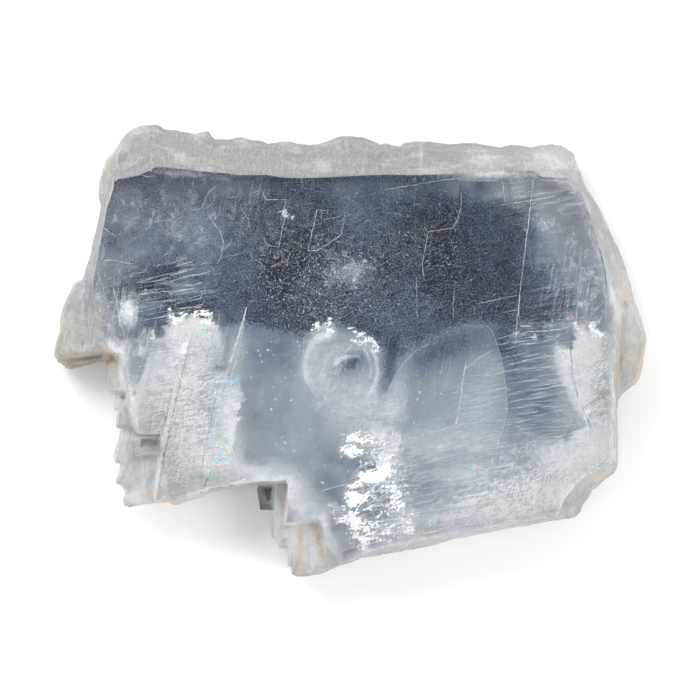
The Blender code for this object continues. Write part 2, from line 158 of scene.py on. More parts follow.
PALE_BLOTS = [
    (112, 300, 14, 24, 0, 0.12), (132, 345, 20, 20, 0, 0.16), (140, 370, 16, 44, 8, 0.2),
    (148, 442, 12, 4, 0, 0.3), (150, 460, 14, 22, 0, 0.22), (235, 362, 12, 26, 6, -0.12),
    (240, 350, 12, 22, 0, -0.06), (258, 332, 34, 9, 0, 0.09), (267, 494, 6, 10, 0, 0.4),
    (270, 352, 40, 22, 0, 0.2), (270, 410, 40, 30, 0, -0.04), (285, 450, 40, 22, 0, -0.12),
    (290, 500, 20, 26, 0, -0.22), (300, 470, 14, 12, 0, 0.07), (304, 500, 14, 24, 0, -0.16),
    (318, 366, 20, 34, 0, -0.24), (322, 468, 20, 22, 0, 0.07), (334, 536, 10, 16, -20, 0.22),
    (336, 374, 9, 8, -30, 0.18), (338, 486, 12, 20, 0, 0.12), (342, 328, 8, 6, 0, 0.16),
    (349, 363, 15, 7, -36, 0.66), (350, 384, 6, 12, 10, 0.16), (352, 396, 24, 26, 0, -0.26),
    (352, 430, 30, 16, 0, -0.16), (355, 462, 16, 8, 0, 0.15), (361, 357, 10, 8, -28, 0.16),
    (370, 505, 18, 16, 0, 0.2), (372, 410, 12, 30, 10, -0.2), (372, 465, 8, 6, 0, 0.2),
    (378, 515, 10, 14, 0, 0.3), (380, 500, 30, 34, 0, 0.08), (384, 386, 8, 26, 16, 0.26),
    (386, 366, 8, 22, 16, 0.34), (388, 412, 16, 14, 0, -0.16), (402, 346, 22, 6, -38, 0.2),
    (404, 350, 12, 10, -30, 0.12), (415, 385, 24, 24, 0, 0.06), (420, 485, 26, 10, -10, 0.16),
    (432, 500, 18, 18, 0, 0.16), (440, 395, 22, 26, 0, -0.04), (455, 350, 42, 20, -5, 0.28),
    (460, 472, 50, 10, -8, -0.1), (482, 400, 20, 36, 0, -0.16), (502, 332, 10, 8, 0, 0.14),
    (505, 340, 10, 26, -10, 0.22), (512, 400, 8, 40, 0, 0.1), (520, 352, 34, 30, 0, 0.27),
    (520, 455, 20, 10, 0, 0.1), (530, 374, 20, 12, 0, -0.08), (532, 425, 34, 16, -10, 0.12),
    (533, 392, 25, 25, 0, 0.27), (540, 330, 20, 12, 0, 0.22), (542, 212, 8, 16, 0, 0.1),
    (548, 305, 18, 26, 0, 0.24), (550, 210, 26, 50, 0, 0.02), (552, 232, 20, 18, 0, 0.03),
    (565, 260, 26, 34, 0, 0.06), (575, 300, 26, 26, 0, 0.16), (590, 348, 21, 24, 0, -0.2),
    (598, 230, 10, 40, -14, -0.1), (600, 300, 8, 30, -8, 0.14),
]
DARK_SHADE = 0.965
PALE_SHADE = 0.36
SHADE_COLOURS = [
    (0.00, (0.97, 0.97, 0.97)), (0.20, (0.86, 0.88, 0.90)),
    (0.36, (0.685, 0.70, 0.72)), (0.60, (0.352, 0.422, 0.524)),
    (0.86, (0.094, 0.137, 0.226)), (1.00, (0.049, 0.075, 0.135)),
    (1.30, (0.016, 0.026, 0.048)),
]
SHADE_TOP = 1.3

# The smooth oval split, paler than what is round it
OVAL = [
    (386, 412), (384, 404), (386, 396), (391, 384), (398, 371), (407, 359), (417, 350),
    (430, 343), (442, 334), (456, 328), (472, 324), (486, 325), (492, 331), (497, 345),
    (502, 365), (505, 385), (507, 409), (504, 424), (499, 438), (491, 449), (470, 458),
    (440, 462), (410, 452), (392, 432),
]

OVAL_SHADE = 0.33
OVAL_BLOTS = [
    (392, 404, 5, 22, 12, -0.1), (396, 402, 9, 26, 12, -0.28), (405, 368, 8, 22, 36, -0.2),
    (406, 370, 16, 14, -40, 0.14), (420, 352, 14, 8, -30, 0.12), (430, 440, 50, 22, 0, -0.16),
    (438, 352, 36, 14, -18, 0.34), (458, 372, 26, 12, 0, 0.1), (470, 336, 40, 20, 0, 0.28),
    (470, 372, 16, 14, 0, 0.06), (482, 398, 18, 40, 0, -0.14),
]
STREAKY_PARTS = [
    (530, 385, 30, 50, 0, 0.1), (480, 400, 26, 40, 0, 0.13), (550, 230, 40, 70, 0, 0.14),
    (120, 310, 30, 34, 0, 0.15), (180, 300, 34, 24, 0, 0.12), (575, 300, 30, 34, 0, 0.3),
]
FILMY_PARTS = [
    (165, 220, 60, 50, 0, 0.9), (545, 225, 24, 24, 0, 0.7), (500, 190, 20, 14, 0, 0.6),
    (520, 300, 20, 20, 0, 0.4),
]

# White veils: splits in the crystal that throw light back
VEIL_LEFT = [
    (120, 345), (132, 336), (147, 330), (160, 334), (166, 322), (171, 314),
    (180, 316), (190, 317), (198, 317), (205, 316), (214, 318), (219, 328), (222, 345),
    (220, 362), (226, 378), (240, 382), (245, 396), (240, 418), (233, 432),
    (238, 452), (250, 463), (262, 466), (276, 472), (298, 474), (298, 492), (262, 490),
    (226, 496), (210, 499), (188, 507), (166, 508), (148, 508), (152, 470), (154, 442),
    (132, 442), (120, 430), (118, 395), (112, 388), (110, 366), (120, 362),
]
VEIL_RIGHT = [
    (550, 348), (557, 343), (565, 346), (571, 347), (575, 338), (572, 326),
    (580, 325), (590, 331), (602, 329), (612, 334), (624, 345), (624, 468), (604, 478),
    (590, 486), (580, 494), (572, 506), (566, 524), (532, 530), (480, 539), (440, 546),
    (410, 551), (396, 552), (396, 530), (405, 518), (420, 507), (430, 490), (440, 478),
    (455, 466), (475, 458), (495, 452), (515, 460), (530, 466), (545, 452),
    (560, 444), (572, 434), (580, 424), (578, 410), (570, 398), (562, 384),
    (556, 366),
]
VEIL_FRONT = [
    (372, 422), (392, 426), (416, 436), (422, 458), (426, 480), (430, 500),
    (436, 512), (444, 522), (440, 546), (410, 551), (386, 557), (360, 564), (340, 571),
    (326, 552), (320, 540), (320, 524), (324, 506),
    (330, 500), (340, 508), (344, 492), (345, 482), (356, 476), (362, 464),
    (344, 458), (338, 448), (344, 436), (352, 430), (362, 428),
]


def on_slab(across, down, height=0.0):
    """A point of the ruled sheet, at a height in millimetres, in the slab's frame."""
    return Vector((
        (across - SHEET_MIDDLE[0]) * STEP,
        (SHEET_MIDDLE[1] - down) * STEP,
        height * MM,
    ))


def sheet_steps(mesh):
    """Every corner of a mesh as (across, down) on the ruled sheet."""
    corners = np.empty(len(mesh.vertices) * 3)
    mesh.vertices.foreach_get("co", corners)
    corners = corners.reshape(-1, 3)
    across = corners[:, 0] / STEP + SHEET_MIDDLE[0]
    down = SHEET_MIDDLE[1] - corners[:, 1] / STEP
    return np.column_stack((across, down))


def nearest_on(points, loop):
    """How deep inside a closed line each point lies, in steps, and the line's nearest point."""
    loop = np.array(loop, float)
    nearest = np.full(len(points), np.inf)
    border = np.zeros((len(points), 2))
    inside = np.zeros(len(points), bool)
    for a, b in zip(loop, np.roll(loop, -1, axis=0)):
        along = b - a
        share = np.clip(((points - a) @ along) / (along @ along), 0, 1)
        place = a + share[:, None] * along
        away = np.hypot(*(points - place).T)
        closer = away < nearest
        nearest[closer], border[closer] = away[closer], place[closer]
        if a[1] != b[1]:
            crosses = (a[1] > points[:, 1]) != (b[1] > points[:, 1])
            where = a[0] + (points[:, 1] - a[1]) / along[1] * along[0]
            inside ^= crosses & (points[:, 0] < where)
    return np.where(inside, nearest, -nearest), border


def depth_inside(points, loop):
    """How many steps each point lies inside a closed line. It is negative outside."""
    return nearest_on(points, loop)[0]


def soft_step(values, low, high):
    """0 below low, 1 above high, and a smooth rise between them."""
    share = np.clip((values - low) / (high - low), 0, 1)
    return share * share * (3 - 2 * share)


def blots(points, marks):
    """The sum of soft oval marks at each point."""
    total = np.zeros(len(points))
    for across, down, long, wide, turn, change in marks:
        angle = math.radians(turn)
        away = points - (across, down)
        first = away[:, 0] * math.cos(angle) + away[:, 1] * math.sin(angle)
        second = away[:, 1] * math.cos(angle) - away[:, 0] * math.sin(angle)
        total += change * np.exp(-(first / long) ** 2 - (second / wide) ** 2)
    return total


def paint(mesh, name, values):
    """Stores one number per corner under a name that the finishes read."""
    layer = mesh.attributes.new(name, "FLOAT", "POINT")
    layer.data.foreach_set("value", np.asarray(values, np.float32))


def add_piece(name, mesh):
    """An object at the origin that shows a mesh."""
    piece = bpy.data.objects.new(name, mesh)
    bpy.context.scene.collection.objects.link(piece)
    return piece


# ---------------------------------------------------------------- finishes


class Graph:
    """A node tree with short calls for the nodes that the finishes are made of."""

    def __init__(self, tree):
        self.tree = tree

    def put(self, kind, settings=None, **inputs):
        node = self.tree.nodes.new(kind)
        for name, value in (settings or {}).items():
            setattr(node, name, value)
        for name, value in inputs.items():
            self.feed(node.inputs[name.replace("_", " ")], value)
        return node

    def feed(self, socket, value):
        if isinstance(value, bpy.types.NodeSocket):
            self.tree.links.new(value, socket)
        elif value is not None:
            socket.default_value = value

    def sum(self, kind, *values, clamp=False):
        node = self.put("ShaderNodeMath", {"operation": kind, "use_clamp": clamp})
        for socket, value in zip(node.inputs, values):
            self.feed(socket, value)
        return node.outputs[0]

    def painted(self, name):
        node = self.put("ShaderNodeAttribute", {"attribute_name": name})
        return node.outputs["Fac"]

    def place(self, scale=PER_MM):
        """Object coordinates in millimetres, or in other units for each axis."""
        where = self.put("ShaderNodeTexCoord").outputs["Object"]
        return self.put("ShaderNodeMapping", Vector=where, Scale=scale).outputs[0]

    def noise(self, place, scale, detail=3.0, rough=0.5, twist=0.0):
        node = self.put(
            "ShaderNodeTexNoise", Vector=place, Scale=scale, Detail=detail,
            Roughness=rough, Distortion=twist,
        )
        return node.outputs["Fac"]

    def ridges(self, place, scale):
        """Sharp crossing ridges, from about 0.5 to 2."""
        node = self.put(
            "ShaderNodeTexNoise", {"noise_type": "RIDGED_MULTIFRACTAL", "normalize": False},
            Vector=place, Scale=scale, Detail=3.0, Roughness=0.6, Distortion=0.4,
        )
        return node.outputs["Fac"]

    def span(self, value, low, high, to_low=0.0, to_high=1.0, smooth=True):
        """value, from low to high, read as to_low to to_high."""
        node = self.put(
            "ShaderNodeMapRange",
            {"interpolation_type": "SMOOTHSTEP" if smooth else "LINEAR"},
            Value=value,
        )
        for name, number in zip(("From Min", "From Max"), (low, high)):
            self.feed(node.inputs[name], number)
        for name, number in zip(("To Min", "To Max"), (to_low, to_high)):
            self.feed(node.inputs[name], number)
        return node.outputs["Result"]

    def ramp(self, share, stops):
        node = self.put("ShaderNodeValToRGB", Fac=share)
        marks = node.color_ramp.elements
        while len(marks) < len(stops):
            marks.new(1.0)
        for mark, (position, colour) in zip(marks, stops):
            mark.position = position
            mark.color = (*colour, 1.0)
        return node.outputs["Color"]

    def mix(self, share, first, second, way="MIX"):
        node = self.put("ShaderNodeMix", {"data_type": "RGBA", "blend_type": way})
        self.feed(node.inputs[0], share)
        for socket, value in ((node.inputs[6], first), (node.inputs[7], second)):
            if isinstance(value, tuple):
                value = (*value, 1.0)
            self.feed(socket, value)
        return node.outputs[2]

    def bump(self, height, distance, strength=1.0):
        node = self.put(
            "ShaderNodeBump", Height=height, Distance=distance, Strength=strength
        )
        return node.outputs["Normal"]

    def blend(self, share, first, second):
        node = self.put("ShaderNodeMix", {"data_type": "FLOAT"})
        for socket, value in zip(node.inputs[:1] + node.inputs[2:4], (share, first, second)):
            self.feed(socket, value)
        return node.outputs[0]

    def grey(self, value):
        return self.put("ShaderNodeCombineColor", Red=value, Green=value, Blue=value).outputs[0]

    def group(self, tree, **inputs):
        node = self.put("ShaderNodeGroup", {"node_tree": tree})
        for name, value in inputs.items():
            self.feed(node.inputs[name.replace("_", " ")], value)
        return node.outputs


def new_group(name, inputs, outputs):
    """An empty shader group with named number inputs and named outputs."""
    tree = bpy.data.node_groups.new(name, "ShaderNodeTree")
    for label, value in inputs:
        socket = tree.interface.new_socket(
            name=label, in_out="INPUT", socket_type="NodeSocketFloat"
        )
        socket.default_value = value
    for label, kind in outputs:
        tree.interface.new_socket(name=label, in_out="OUTPUT", socket_type=kind)
    graph = Graph(tree)
    taken = graph.put("NodeGroupInput").outputs
    given = graph.put("NodeGroupOutput").inputs
    return tree, graph, taken, given


def leaning_place(graph, taken):
    """How far along and across the lean a point lies, in lengths and widths, and its Z."""
    where = graph.put("ShaderNodeTexCoord").outputs["Object"]
    spin = graph.put("ShaderNodeVectorRotate", {"rotation_type": "Z_AXIS"}, Vector=where)
    graph.feed(spin.inputs["Angle"], graph.sum("RADIANS", taken["Lean"]))
    parts = graph.put("ShaderNodeSeparateXYZ", Vector=spin.outputs[0]).outputs
    along = graph.sum("DIVIDE", parts["X"], graph.sum("MULTIPLY", taken["Length"], MM))
    across = graph.sum("DIVIDE", parts["Y"], graph.sum("MULTIPLY", taken["Width"], MM))
    return along, across, parts["Z"]


def cleavage_streaks():
    """Fine straight streaks along one cleavage direction of the crystal."""
    tree, graph, taken, given = new_group(
        "cleavage streaks",
        [("Lean", 0.0), ("Length", 6.0), ("Width", 0.5), ("Waver", 0.3)],
        [("Streaks", "NodeSocketFloat"), ("Fine", "NodeSocketFloat")],
    )
    along, across, up = leaning_place(graph, taken)
    deep = graph.sum("MULTIPLY", up, 600.0)
    joined = graph.put("ShaderNodeCombineXYZ", X=along, Y=across, Z=deep).outputs[0]
    broad = graph.noise(joined, 1.0, 2.0, 0.6, taken["Waver"])
    fine = graph.noise(joined, 3.1, 1.0, 0.6, taken["Waver"])
    graph.feed(given["Streaks"], graph.span(broad, 0.3, 0.7))
    graph.feed(given["Fine"], graph.span(fine, 0.3, 0.7))
    return tree


def sugar_grain():
    """The grain of a broken, frosted face: small lumps and pits."""
    tree, graph, taken, given = new_group(
        "sugar grain",
        [("Size", 0.6), ("Depth", 0.5)],
        [("Grain", "NodeSocketFloat"), ("Height", "NodeSocketFloat")],
    )
    where = graph.place()
    scale = graph.sum("DIVIDE", 1.0, taken["Size"])
    cells = graph.put(
        "ShaderNodeTexVoronoi", {"feature": "F1"}, Vector=where, Scale=scale
    )
    bumps = graph.noise(where, graph.sum("MULTIPLY", scale, 0.6), 3.0, 0.65)
    both = graph.sum("ADD", graph.sum("MULTIPLY", cells.outputs["Distance"], 0.5), bumps)
    graph.feed(given["Grain"], graph.span(both, 0.35, 1.0))
    graph.feed(given["Height"], graph.sum("MULTIPLY", both, taken["Depth"]))
    return tree


def flake_chips():
    """A random level for each of many small, long chips."""
    tree, graph, taken, given = new_group(
        "flake chips",
        [("Lean", 0.0), ("Length", 1.0), ("Width", 0.5)],
        [("Chip", "NodeSocketFloat")],
    )
    along, across, _ = leaning_place(graph, taken)
    joined = graph.put("ShaderNodeCombineXYZ", X=along, Y=across).outputs[0]
    cells = graph.put(
        "ShaderNodeTexVoronoi", {"voronoi_dimensions": "2D", "feature": "F1"},
        Vector=joined, Scale=1.0,
    )
    level = graph.put("ShaderNodeSeparateColor", Color=cells.outputs["Color"]).outputs[0]
    graph.feed(given["Chip"], level)
    return tree


STREAKS = cleavage_streaks()
CHIPS = flake_chips()
SUGAR = sugar_grain()


def new_finish(name, **values):
    """A material, its graph and its Principled shader with plain values set."""
    material = bpy.data.materials.new(name)
    material.use_nodes = True
    shader = material.node_tree.nodes["Principled BSDF"]
    for label, value in values.items():
        shader.inputs[label.replace("_", " ")].default_value = value
    return material, Graph(material.node_tree), shader


def add_absorption(material, graph):
    """Clear gypsum takes a little red out of the light that crosses it."""
    inside = graph.put("ShaderNodeVolumeAbsorption")
    inside.inputs["Color"].default_value = (0.72, 0.84, 0.92, 1.0)
    inside.inputs["Density"].default_value = 2.0
    out = material.node_tree.nodes["Material Output"]
    graph.feed(out.inputs["Volume"], inside.outputs[0])


def clear_cleavage_finish():
    """The polished-looking upper cleavage face."""
    material, graph, shader = new_finish(
        "clear_cleavage_face", Metallic=0.0, Transmission_Weight=1.0, IOR=CRYSTAL_IOR
    )
    frost = graph.painted("frost")
    smear = graph.noise(graph.place(), 0.09, 3.0, 0.6)
    film = graph.mix(smear, (0.93, 0.95, 0.97), (0.98, 0.98, 0.97))
    graph.feed(shader.inputs["Base Color"], graph.mix(frost, film, (0.80, 0.83, 0.85)))
    rough = graph.sum("ADD", graph.span(smear, 0.4, 0.7, 0.012, 0.05),
                      graph.sum("MULTIPLY", frost, 0.32))
    graph.feed(shader.inputs["Roughness"], rough)
    add_absorption(material, graph)
    return material


def shaded_back_finish():
    """The lower cleavage face: clear, tinted with painted shade for the dark that shows through
    it.
    """
    material, graph, shader = new_finish(
        "painted_shade_back_face", Metallic=0.0, Transmission_Weight=1.0, IOR=CRYSTAL_IOR
    )
    place = graph.place()
    ragged = graph.noise(place, 1.4, 3.0, 0.65)
    edge = graph.sum(
        "ADD", graph.painted("dark_depth"), graph.span(ragged, 0.3, 0.7, -4.5, 4.5)
    )
    dark = graph.span(edge, -5.0, 5.0)
    shade = graph.blend(dark, graph.painted("shade_out"), graph.painted("shade_in"))
    oval = graph.span(graph.painted("oval_depth"), -0.5, 0.5)
    shade = graph.blend(oval, shade, graph.painted("shade_oval"))
    clouds = graph.noise(place, 0.16, 3.0, 0.55, 0.6)
    wisps = graph.noise(place, 0.55, 4.0, 0.62, 0.8)
    grain = graph.noise(place, 2.7, 1.0, 0.75)
    deep = graph.span(shade, 0.55, 0.9, 0.035, 0.42)
    level = graph.group(CHIPS, Lean=-9.0, Length=6.0, Width=0.3)
    streaks = graph.sum("SUBTRACT", level["Chip"], 0.5)
    shade = graph.sum("ADD", shade, graph.span(clouds, 0.3, 0.7, -0.08, 0.08))
    shade = graph.sum("ADD", shade, graph.span(wisps, 0.3, 0.7, -0.06, 0.06))
    shade = graph.sum("MULTIPLY_ADD", graph.span(grain, 0.3, 0.7, -1.0, 1.0), deep, shade)
    shade = graph.sum("MULTIPLY_ADD", streaks, graph.painted("streaky"), shade)
    stops = [(position / SHADE_TOP, colour) for position, colour in SHADE_COLOURS]
    colour = graph.ramp(graph.sum("DIVIDE", shade, SHADE_TOP), stops)
    tints = graph.noise(place, 0.21, 2.0, 0.5, 1.5)
    film = graph.ramp(tints, [
        (0.36, (0.98, 0.90, 1.04)), (0.45, (1.0, 1.0, 1.0)), (0.55, (1.0, 1.0, 1.0)),
        (0.64, (0.88, 1.05, 1.0)), (0.72, (1.08, 0.98, 0.92)),
    ])
    # Painted shade: the lower face's tint stands for the dark surroundings seen through the
    # crystal
    tinted = graph.mix(graph.painted("film"), colour, film, "MULTIPLY")
    graph.feed(shader.inputs["Base Color"], tinted)
    graph.feed(shader.inputs["Roughness"], graph.span(wisps, 0.3, 0.7, 0.02, 0.09))
    add_absorption(material, graph)
    return material


# The rims' colours, each darker in the pits of their grain than on its lumps, as painted shade
RIM_GREYS = ((0.230, 0.257, 0.268), (0.352, 0.374, 0.381))
RIM_BEIGES = ((0.345, 0.320, 0.276), (0.51, 0.483, 0.432))
RIM_WHITE = (0.70, 0.71, 0.715)
RIM_PAINTED_SHADE = (0.16, 0.20, 0.25)
RUST = (0.56, 0.38, 0.22)


def frosted_rim_finish():
    """Broken, weathered edges: pale grey and beige, silky, with rusty stains, painted shade and
    painted glints.
    """
    material, graph, shader = new_finish(
        "frosted_broken_rim", Metallic=0.0, Transmission_Weight=0.28, IOR=CRYSTAL_IOR
    )
    place = graph.place()
    sugar = graph.group(SUGAR, Size=0.55, Depth=0.6)
    fibres = graph.group(STREAKS, Lean=-80.0, Length=5.0, Width=0.5)
    layers = graph.put("ShaderNodeSeparateXYZ", Vector=place).outputs["Z"]
    leaves = graph.put("ShaderNodeCombineXYZ", Z=layers).outputs[0]
    laminae = graph.noise(leaves, 1.6, 2.0, 0.7)
    patches = graph.noise(graph.place((620.0, 1000.0, 1000.0)), 0.22, 4.0, 0.7)
    # Painted shade: the rims darken in the pits of their grain
    grey = graph.mix(sugar["Grain"], *RIM_GREYS)
    beige = graph.mix(sugar["Grain"], *RIM_BEIGES)
    beigeness = graph.sum(
        "ADD", graph.painted("beige"), graph.span(patches, 0.4, 0.65, -0.15, 0.45)
    )
    colour = graph.mix(graph.span(beigeness, 0.0, 1.0), grey, beige)
    pale = graph.span(fibres["Streaks"], 0.6, 1.0, 0.0, 0.30)
    pale = graph.sum("ADD", pale, graph.span(patches, 0.5, 0.66, 0.0, 0.30))
    # The painted pale marks: partly whiter frost, partly painted glints and painted light on
    # facets in shade
    pale = graph.sum("ADD", pale, graph.painted("pale"), clamp=True)
    colour = graph.mix(pale, colour, RIM_WHITE)
    dim = graph.span(laminae, 0.35, 0.6, 0.84, 1.0)
    colour = graph.mix(1.0, colour, graph.grey(dim), "MULTIPLY")
    # Painted shade: dark bluish spots where the rim looks through into shade
    painted_shade = graph.sum("MULTIPLY", graph.painted("painted_shade"), graph.span(patches, 0.3, 0.6))
    colour = graph.mix(painted_shade, colour, RIM_PAINTED_SHADE)
    rust = graph.noise(place, 0.9, 3.0, 0.65, 0.5)
    stain = graph.sum("MULTIPLY", graph.painted("stain"), graph.span(rust, 0.3, 0.62))
    colour = graph.mix(stain, colour, RUST)
    graph.feed(shader.inputs["Base Color"], colour)
    graph.feed(shader.inputs["Roughness"], graph.span(sugar["Grain"], 0.0, 1.0, 0.32, 0.6))
    height = graph.sum("MULTIPLY_ADD", fibres["Fine"], 0.35, sugar["Height"])
    graph.feed(shader.inputs["Normal"], graph.bump(height, 0.0002, 0.9))
    add_absorption(material, graph)
    return material


# The chips that films are broken into: pattern, lean in degrees, length and width
FILM_CHIPS = (
    ("level", -11.0, 3.6, 0.17), ("upright", -80.0, 4.2, 0.19), ("crush", -24.0, 0.8, 0.34),
)


def film_finish(name, patterns):
    """Splits and haze in the crystal, with the patterns one film needs, glowing as painted
    light.
    """
    material, graph, shader = new_finish(
        name, Metallic=0.0, Roughness=0.45, IOR=CRYSTAL_IOR, Emission_Strength=0.22
    )
    place = graph.place()
    wisps = graph.noise(place, 0.42, 5.0, 0.72, 0.6)
    edge = graph.sum("MULTIPLY_ADD", graph.span(wisps, 0.3, 0.7, -1.0, 1.0), 5.0,
                     graph.painted("film_depth"))
    cover = graph.sum("MULTIPLY", graph.painted("film_body"),
                      graph.span(wisps, 0.3, 0.7, 0.8, 1.16))
    drawn = {"wisps": graph.span(wisps, 0.46, 0.76)}
    if "grain" in patterns:
        drawn["grain"] = graph.span(graph.noise(place, 2.9, 1.0, 0.8), 0.51, 0.72)
    for label, lean, length, width in FILM_CHIPS:
        if label in patterns:
            chips = graph.group(CHIPS, Lean=lean, Length=length, Width=width)["Chip"]
            drawn[label] = graph.span(chips, 0.62, 0.95, smooth=False)
    if "ice" in patterns:
        drawn["ice"] = graph.span(graph.ridges(place, 1.3), 0.95, 1.65)
    for label, pattern in drawn.items():
        cover = graph.sum("MULTIPLY_ADD", pattern, graph.painted("film_" + label), cover)
    cover = graph.sum("MULTIPLY", cover, graph.span(edge, -0.8, 1.4))
    graph.feed(shader.inputs["Alpha"], graph.sum("MINIMUM", cover, 0.97, clamp=True))
    tone = graph.span(cover, 0.1, 1.45, smooth=False)
    colour = graph.mix(tone, (0.70, 0.74, 0.79), (1.0, 1.0, 0.99))
    graph.feed(shader.inputs["Base Color"], colour)
    # Painted light: the films glow with their own colour
    graph.feed(shader.inputs["Emission Color"], colour)
    return material


def bright_flake_finish():
    """Loose cleavage flakes with painted glints: they glow as if throwing the light straight
    back.
    """
    material, graph, shader = new_finish(
        "bright_cleavage_flake", Metallic=0.0, IOR=CRYSTAL_IOR, Emission_Strength=0.46
    )
    place = graph.place()
    chips = graph.group(CHIPS, Lean=-14.0, Length=1.25, Width=0.5)["Chip"]
    crumbs = graph.group(CHIPS, Lean=-38.0, Length=0.5, Width=0.28)["Chip"]
    torn = graph.noise(place, 1.6, 2.0, 0.7)
    edge = graph.sum("MULTIPLY_ADD", chips, 5.2, graph.painted("flake_depth"))
    edge = graph.sum("MULTIPLY_ADD", crumbs, 4.2, edge)
    edge = graph.sum("MULTIPLY_ADD", graph.span(torn, 0.3, 0.7), 2.0, edge)
    edge = graph.sum("SUBTRACT", edge, 6.0)
    solid = graph.span(edge, -0.2, 0.2)
    halo = graph.span(edge, -3.5, 0.0, 0.0, 0.16)
    seen = graph.sum("MAXIMUM", solid, halo)
    seen = graph.sum("MULTIPLY", seen, graph.painted("glow"), clamp=True)
    graph.feed(shader.inputs["Alpha"], seen)
    colour = graph.ramp(crumbs, [
        (0.10, (0.70, 0.74, 0.84)), (0.30, (0.90, 0.92, 0.98)),
        (0.55, (0.98, 0.98, 0.97)), (0.85, (0.97, 0.985, 0.93)),
        (0.95, (0.99, 0.96, 0.99)),
    ])
    graph.feed(shader.inputs["Base Color"], colour)
    # Painted glints: the flakes glow brightest inside their torn edges
    strength = graph.span(edge, -0.4, 1.2, 0.25, 1.1)
    light = graph.mix(1.0, colour, graph.grey(strength), "MULTIPLY")
    graph.feed(shader.inputs["Emission Color"], light)
    graph.feed(shader.inputs["Roughness"], graph.span(torn, 0.3, 0.7, 0.2, 0.5))
    return material


def crack_finish():
    """Thin open cracks and scratches, which show as fine white lines that glow as painted
    light.
    """
    material, graph, shader = new_finish(
        "fine_white_crack", Metallic=0.0, Roughness=0.4, IOR=CRYSTAL_IOR,
        Emission_Strength=0.2,
    )
    wear = graph.noise(graph.place(), 0.9, 4.0, 0.7)
    seen = graph.sum("MULTIPLY", graph.painted("glow"), graph.span(wear, 0.3, 0.6, 0.35, 1.0))
    graph.feed(shader.inputs["Alpha"], seen)
    colour = graph.mix(wear, (0.78, 0.83, 0.87), (0.94, 0.95, 0.93))
    graph.feed(shader.inputs["Base Color"], colour)
    # Painted light: the lines glow with their own colour
    graph.feed(shader.inputs["Emission Color"], colour)
    return material


def crease_finish():
    """Shadowed creases beside the ridges and cracks."""
    material, graph, shader = new_finish(
        "shadowed_crease", Metallic=0.0, Roughness=0.5, IOR=CRYSTAL_IOR
    )
    wear = graph.noise(graph.place(), 0.7, 3.0, 0.7)
    seen = graph.sum("MULTIPLY", graph.painted("glow"), graph.span(wear, 0.3, 0.6, 0.4, 1.0))
    graph.feed(shader.inputs["Alpha"], seen)
    colour = graph.mix(wear, (0.22, 0.26, 0.32), (0.34, 0.38, 0.43))
    graph.feed(shader.inputs["Base Color"], colour)
    return material


def rainbow_finish():
    """A thin film of air in a split, which shows soft rainbow colours and glows as painted
    light.
    """
    material, graph, shader = new_finish(
        "rainbow_film", Metallic=0.0, Roughness=0.25, IOR=CRYSTAL_IOR,
        Emission_Strength=0.3,
    )
    place = graph.place()
    bands = graph.noise(place, 0.8, 2.0, 0.6, 1.5)
    colour = graph.ramp(graph.span(bands, 0.3, 0.7), [
        (0.00, (0.45, 0.30, 0.92)), (0.22, (0.20, 0.66, 0.98)),
        (0.42, (0.30, 0.92, 0.62)), (0.58, (0.95, 0.90, 0.45)),
        (0.76, (0.98, 0.50, 0.42)), (1.00, (0.92, 0.40, 0.82)),
    ])
    graph.feed(shader.inputs["Base Color"], colour)
    # Painted light: the spots glow with their rainbow colours
    graph.feed(shader.inputs["Emission Color"], colour)
    specks = graph.noise(place, 2.0, 2.0, 0.6)
    seen = graph.sum("MULTIPLY", graph.painted("glow"), graph.span(specks, 0.38, 0.52))
    graph.feed(shader.inputs["Alpha"], seen)
    return material


# ---------------------------------------------------------------- the slab itself


def cleavage_side(face):
    """Whether a face is of the upper cleavage, of the lower one, or broken."""
    heights = [vert.co.z / MM for vert in face.verts]
    if all(min(abs(z - level) for level in UPPER_LEVELS) < LEVEL_SLACK for z in heights):
        return UPPER
    if max(heights) < LOWER_FACE_BELOW and face.normal.z < -0.97:
        return LOWER
    return BROKEN


def flat_groups(solid):
    """Cleavage faces that lie flat at one height, grouped by height and side."""
    groups = {}
    for face in solid.faces:
        side = face.material_index
        if side != BROKEN and abs(face.normal.z) > 0.99999:
            height = round(face.calc_center_median().z, 6)
            groups.setdefault((height, side), []).append(face)
    return groups


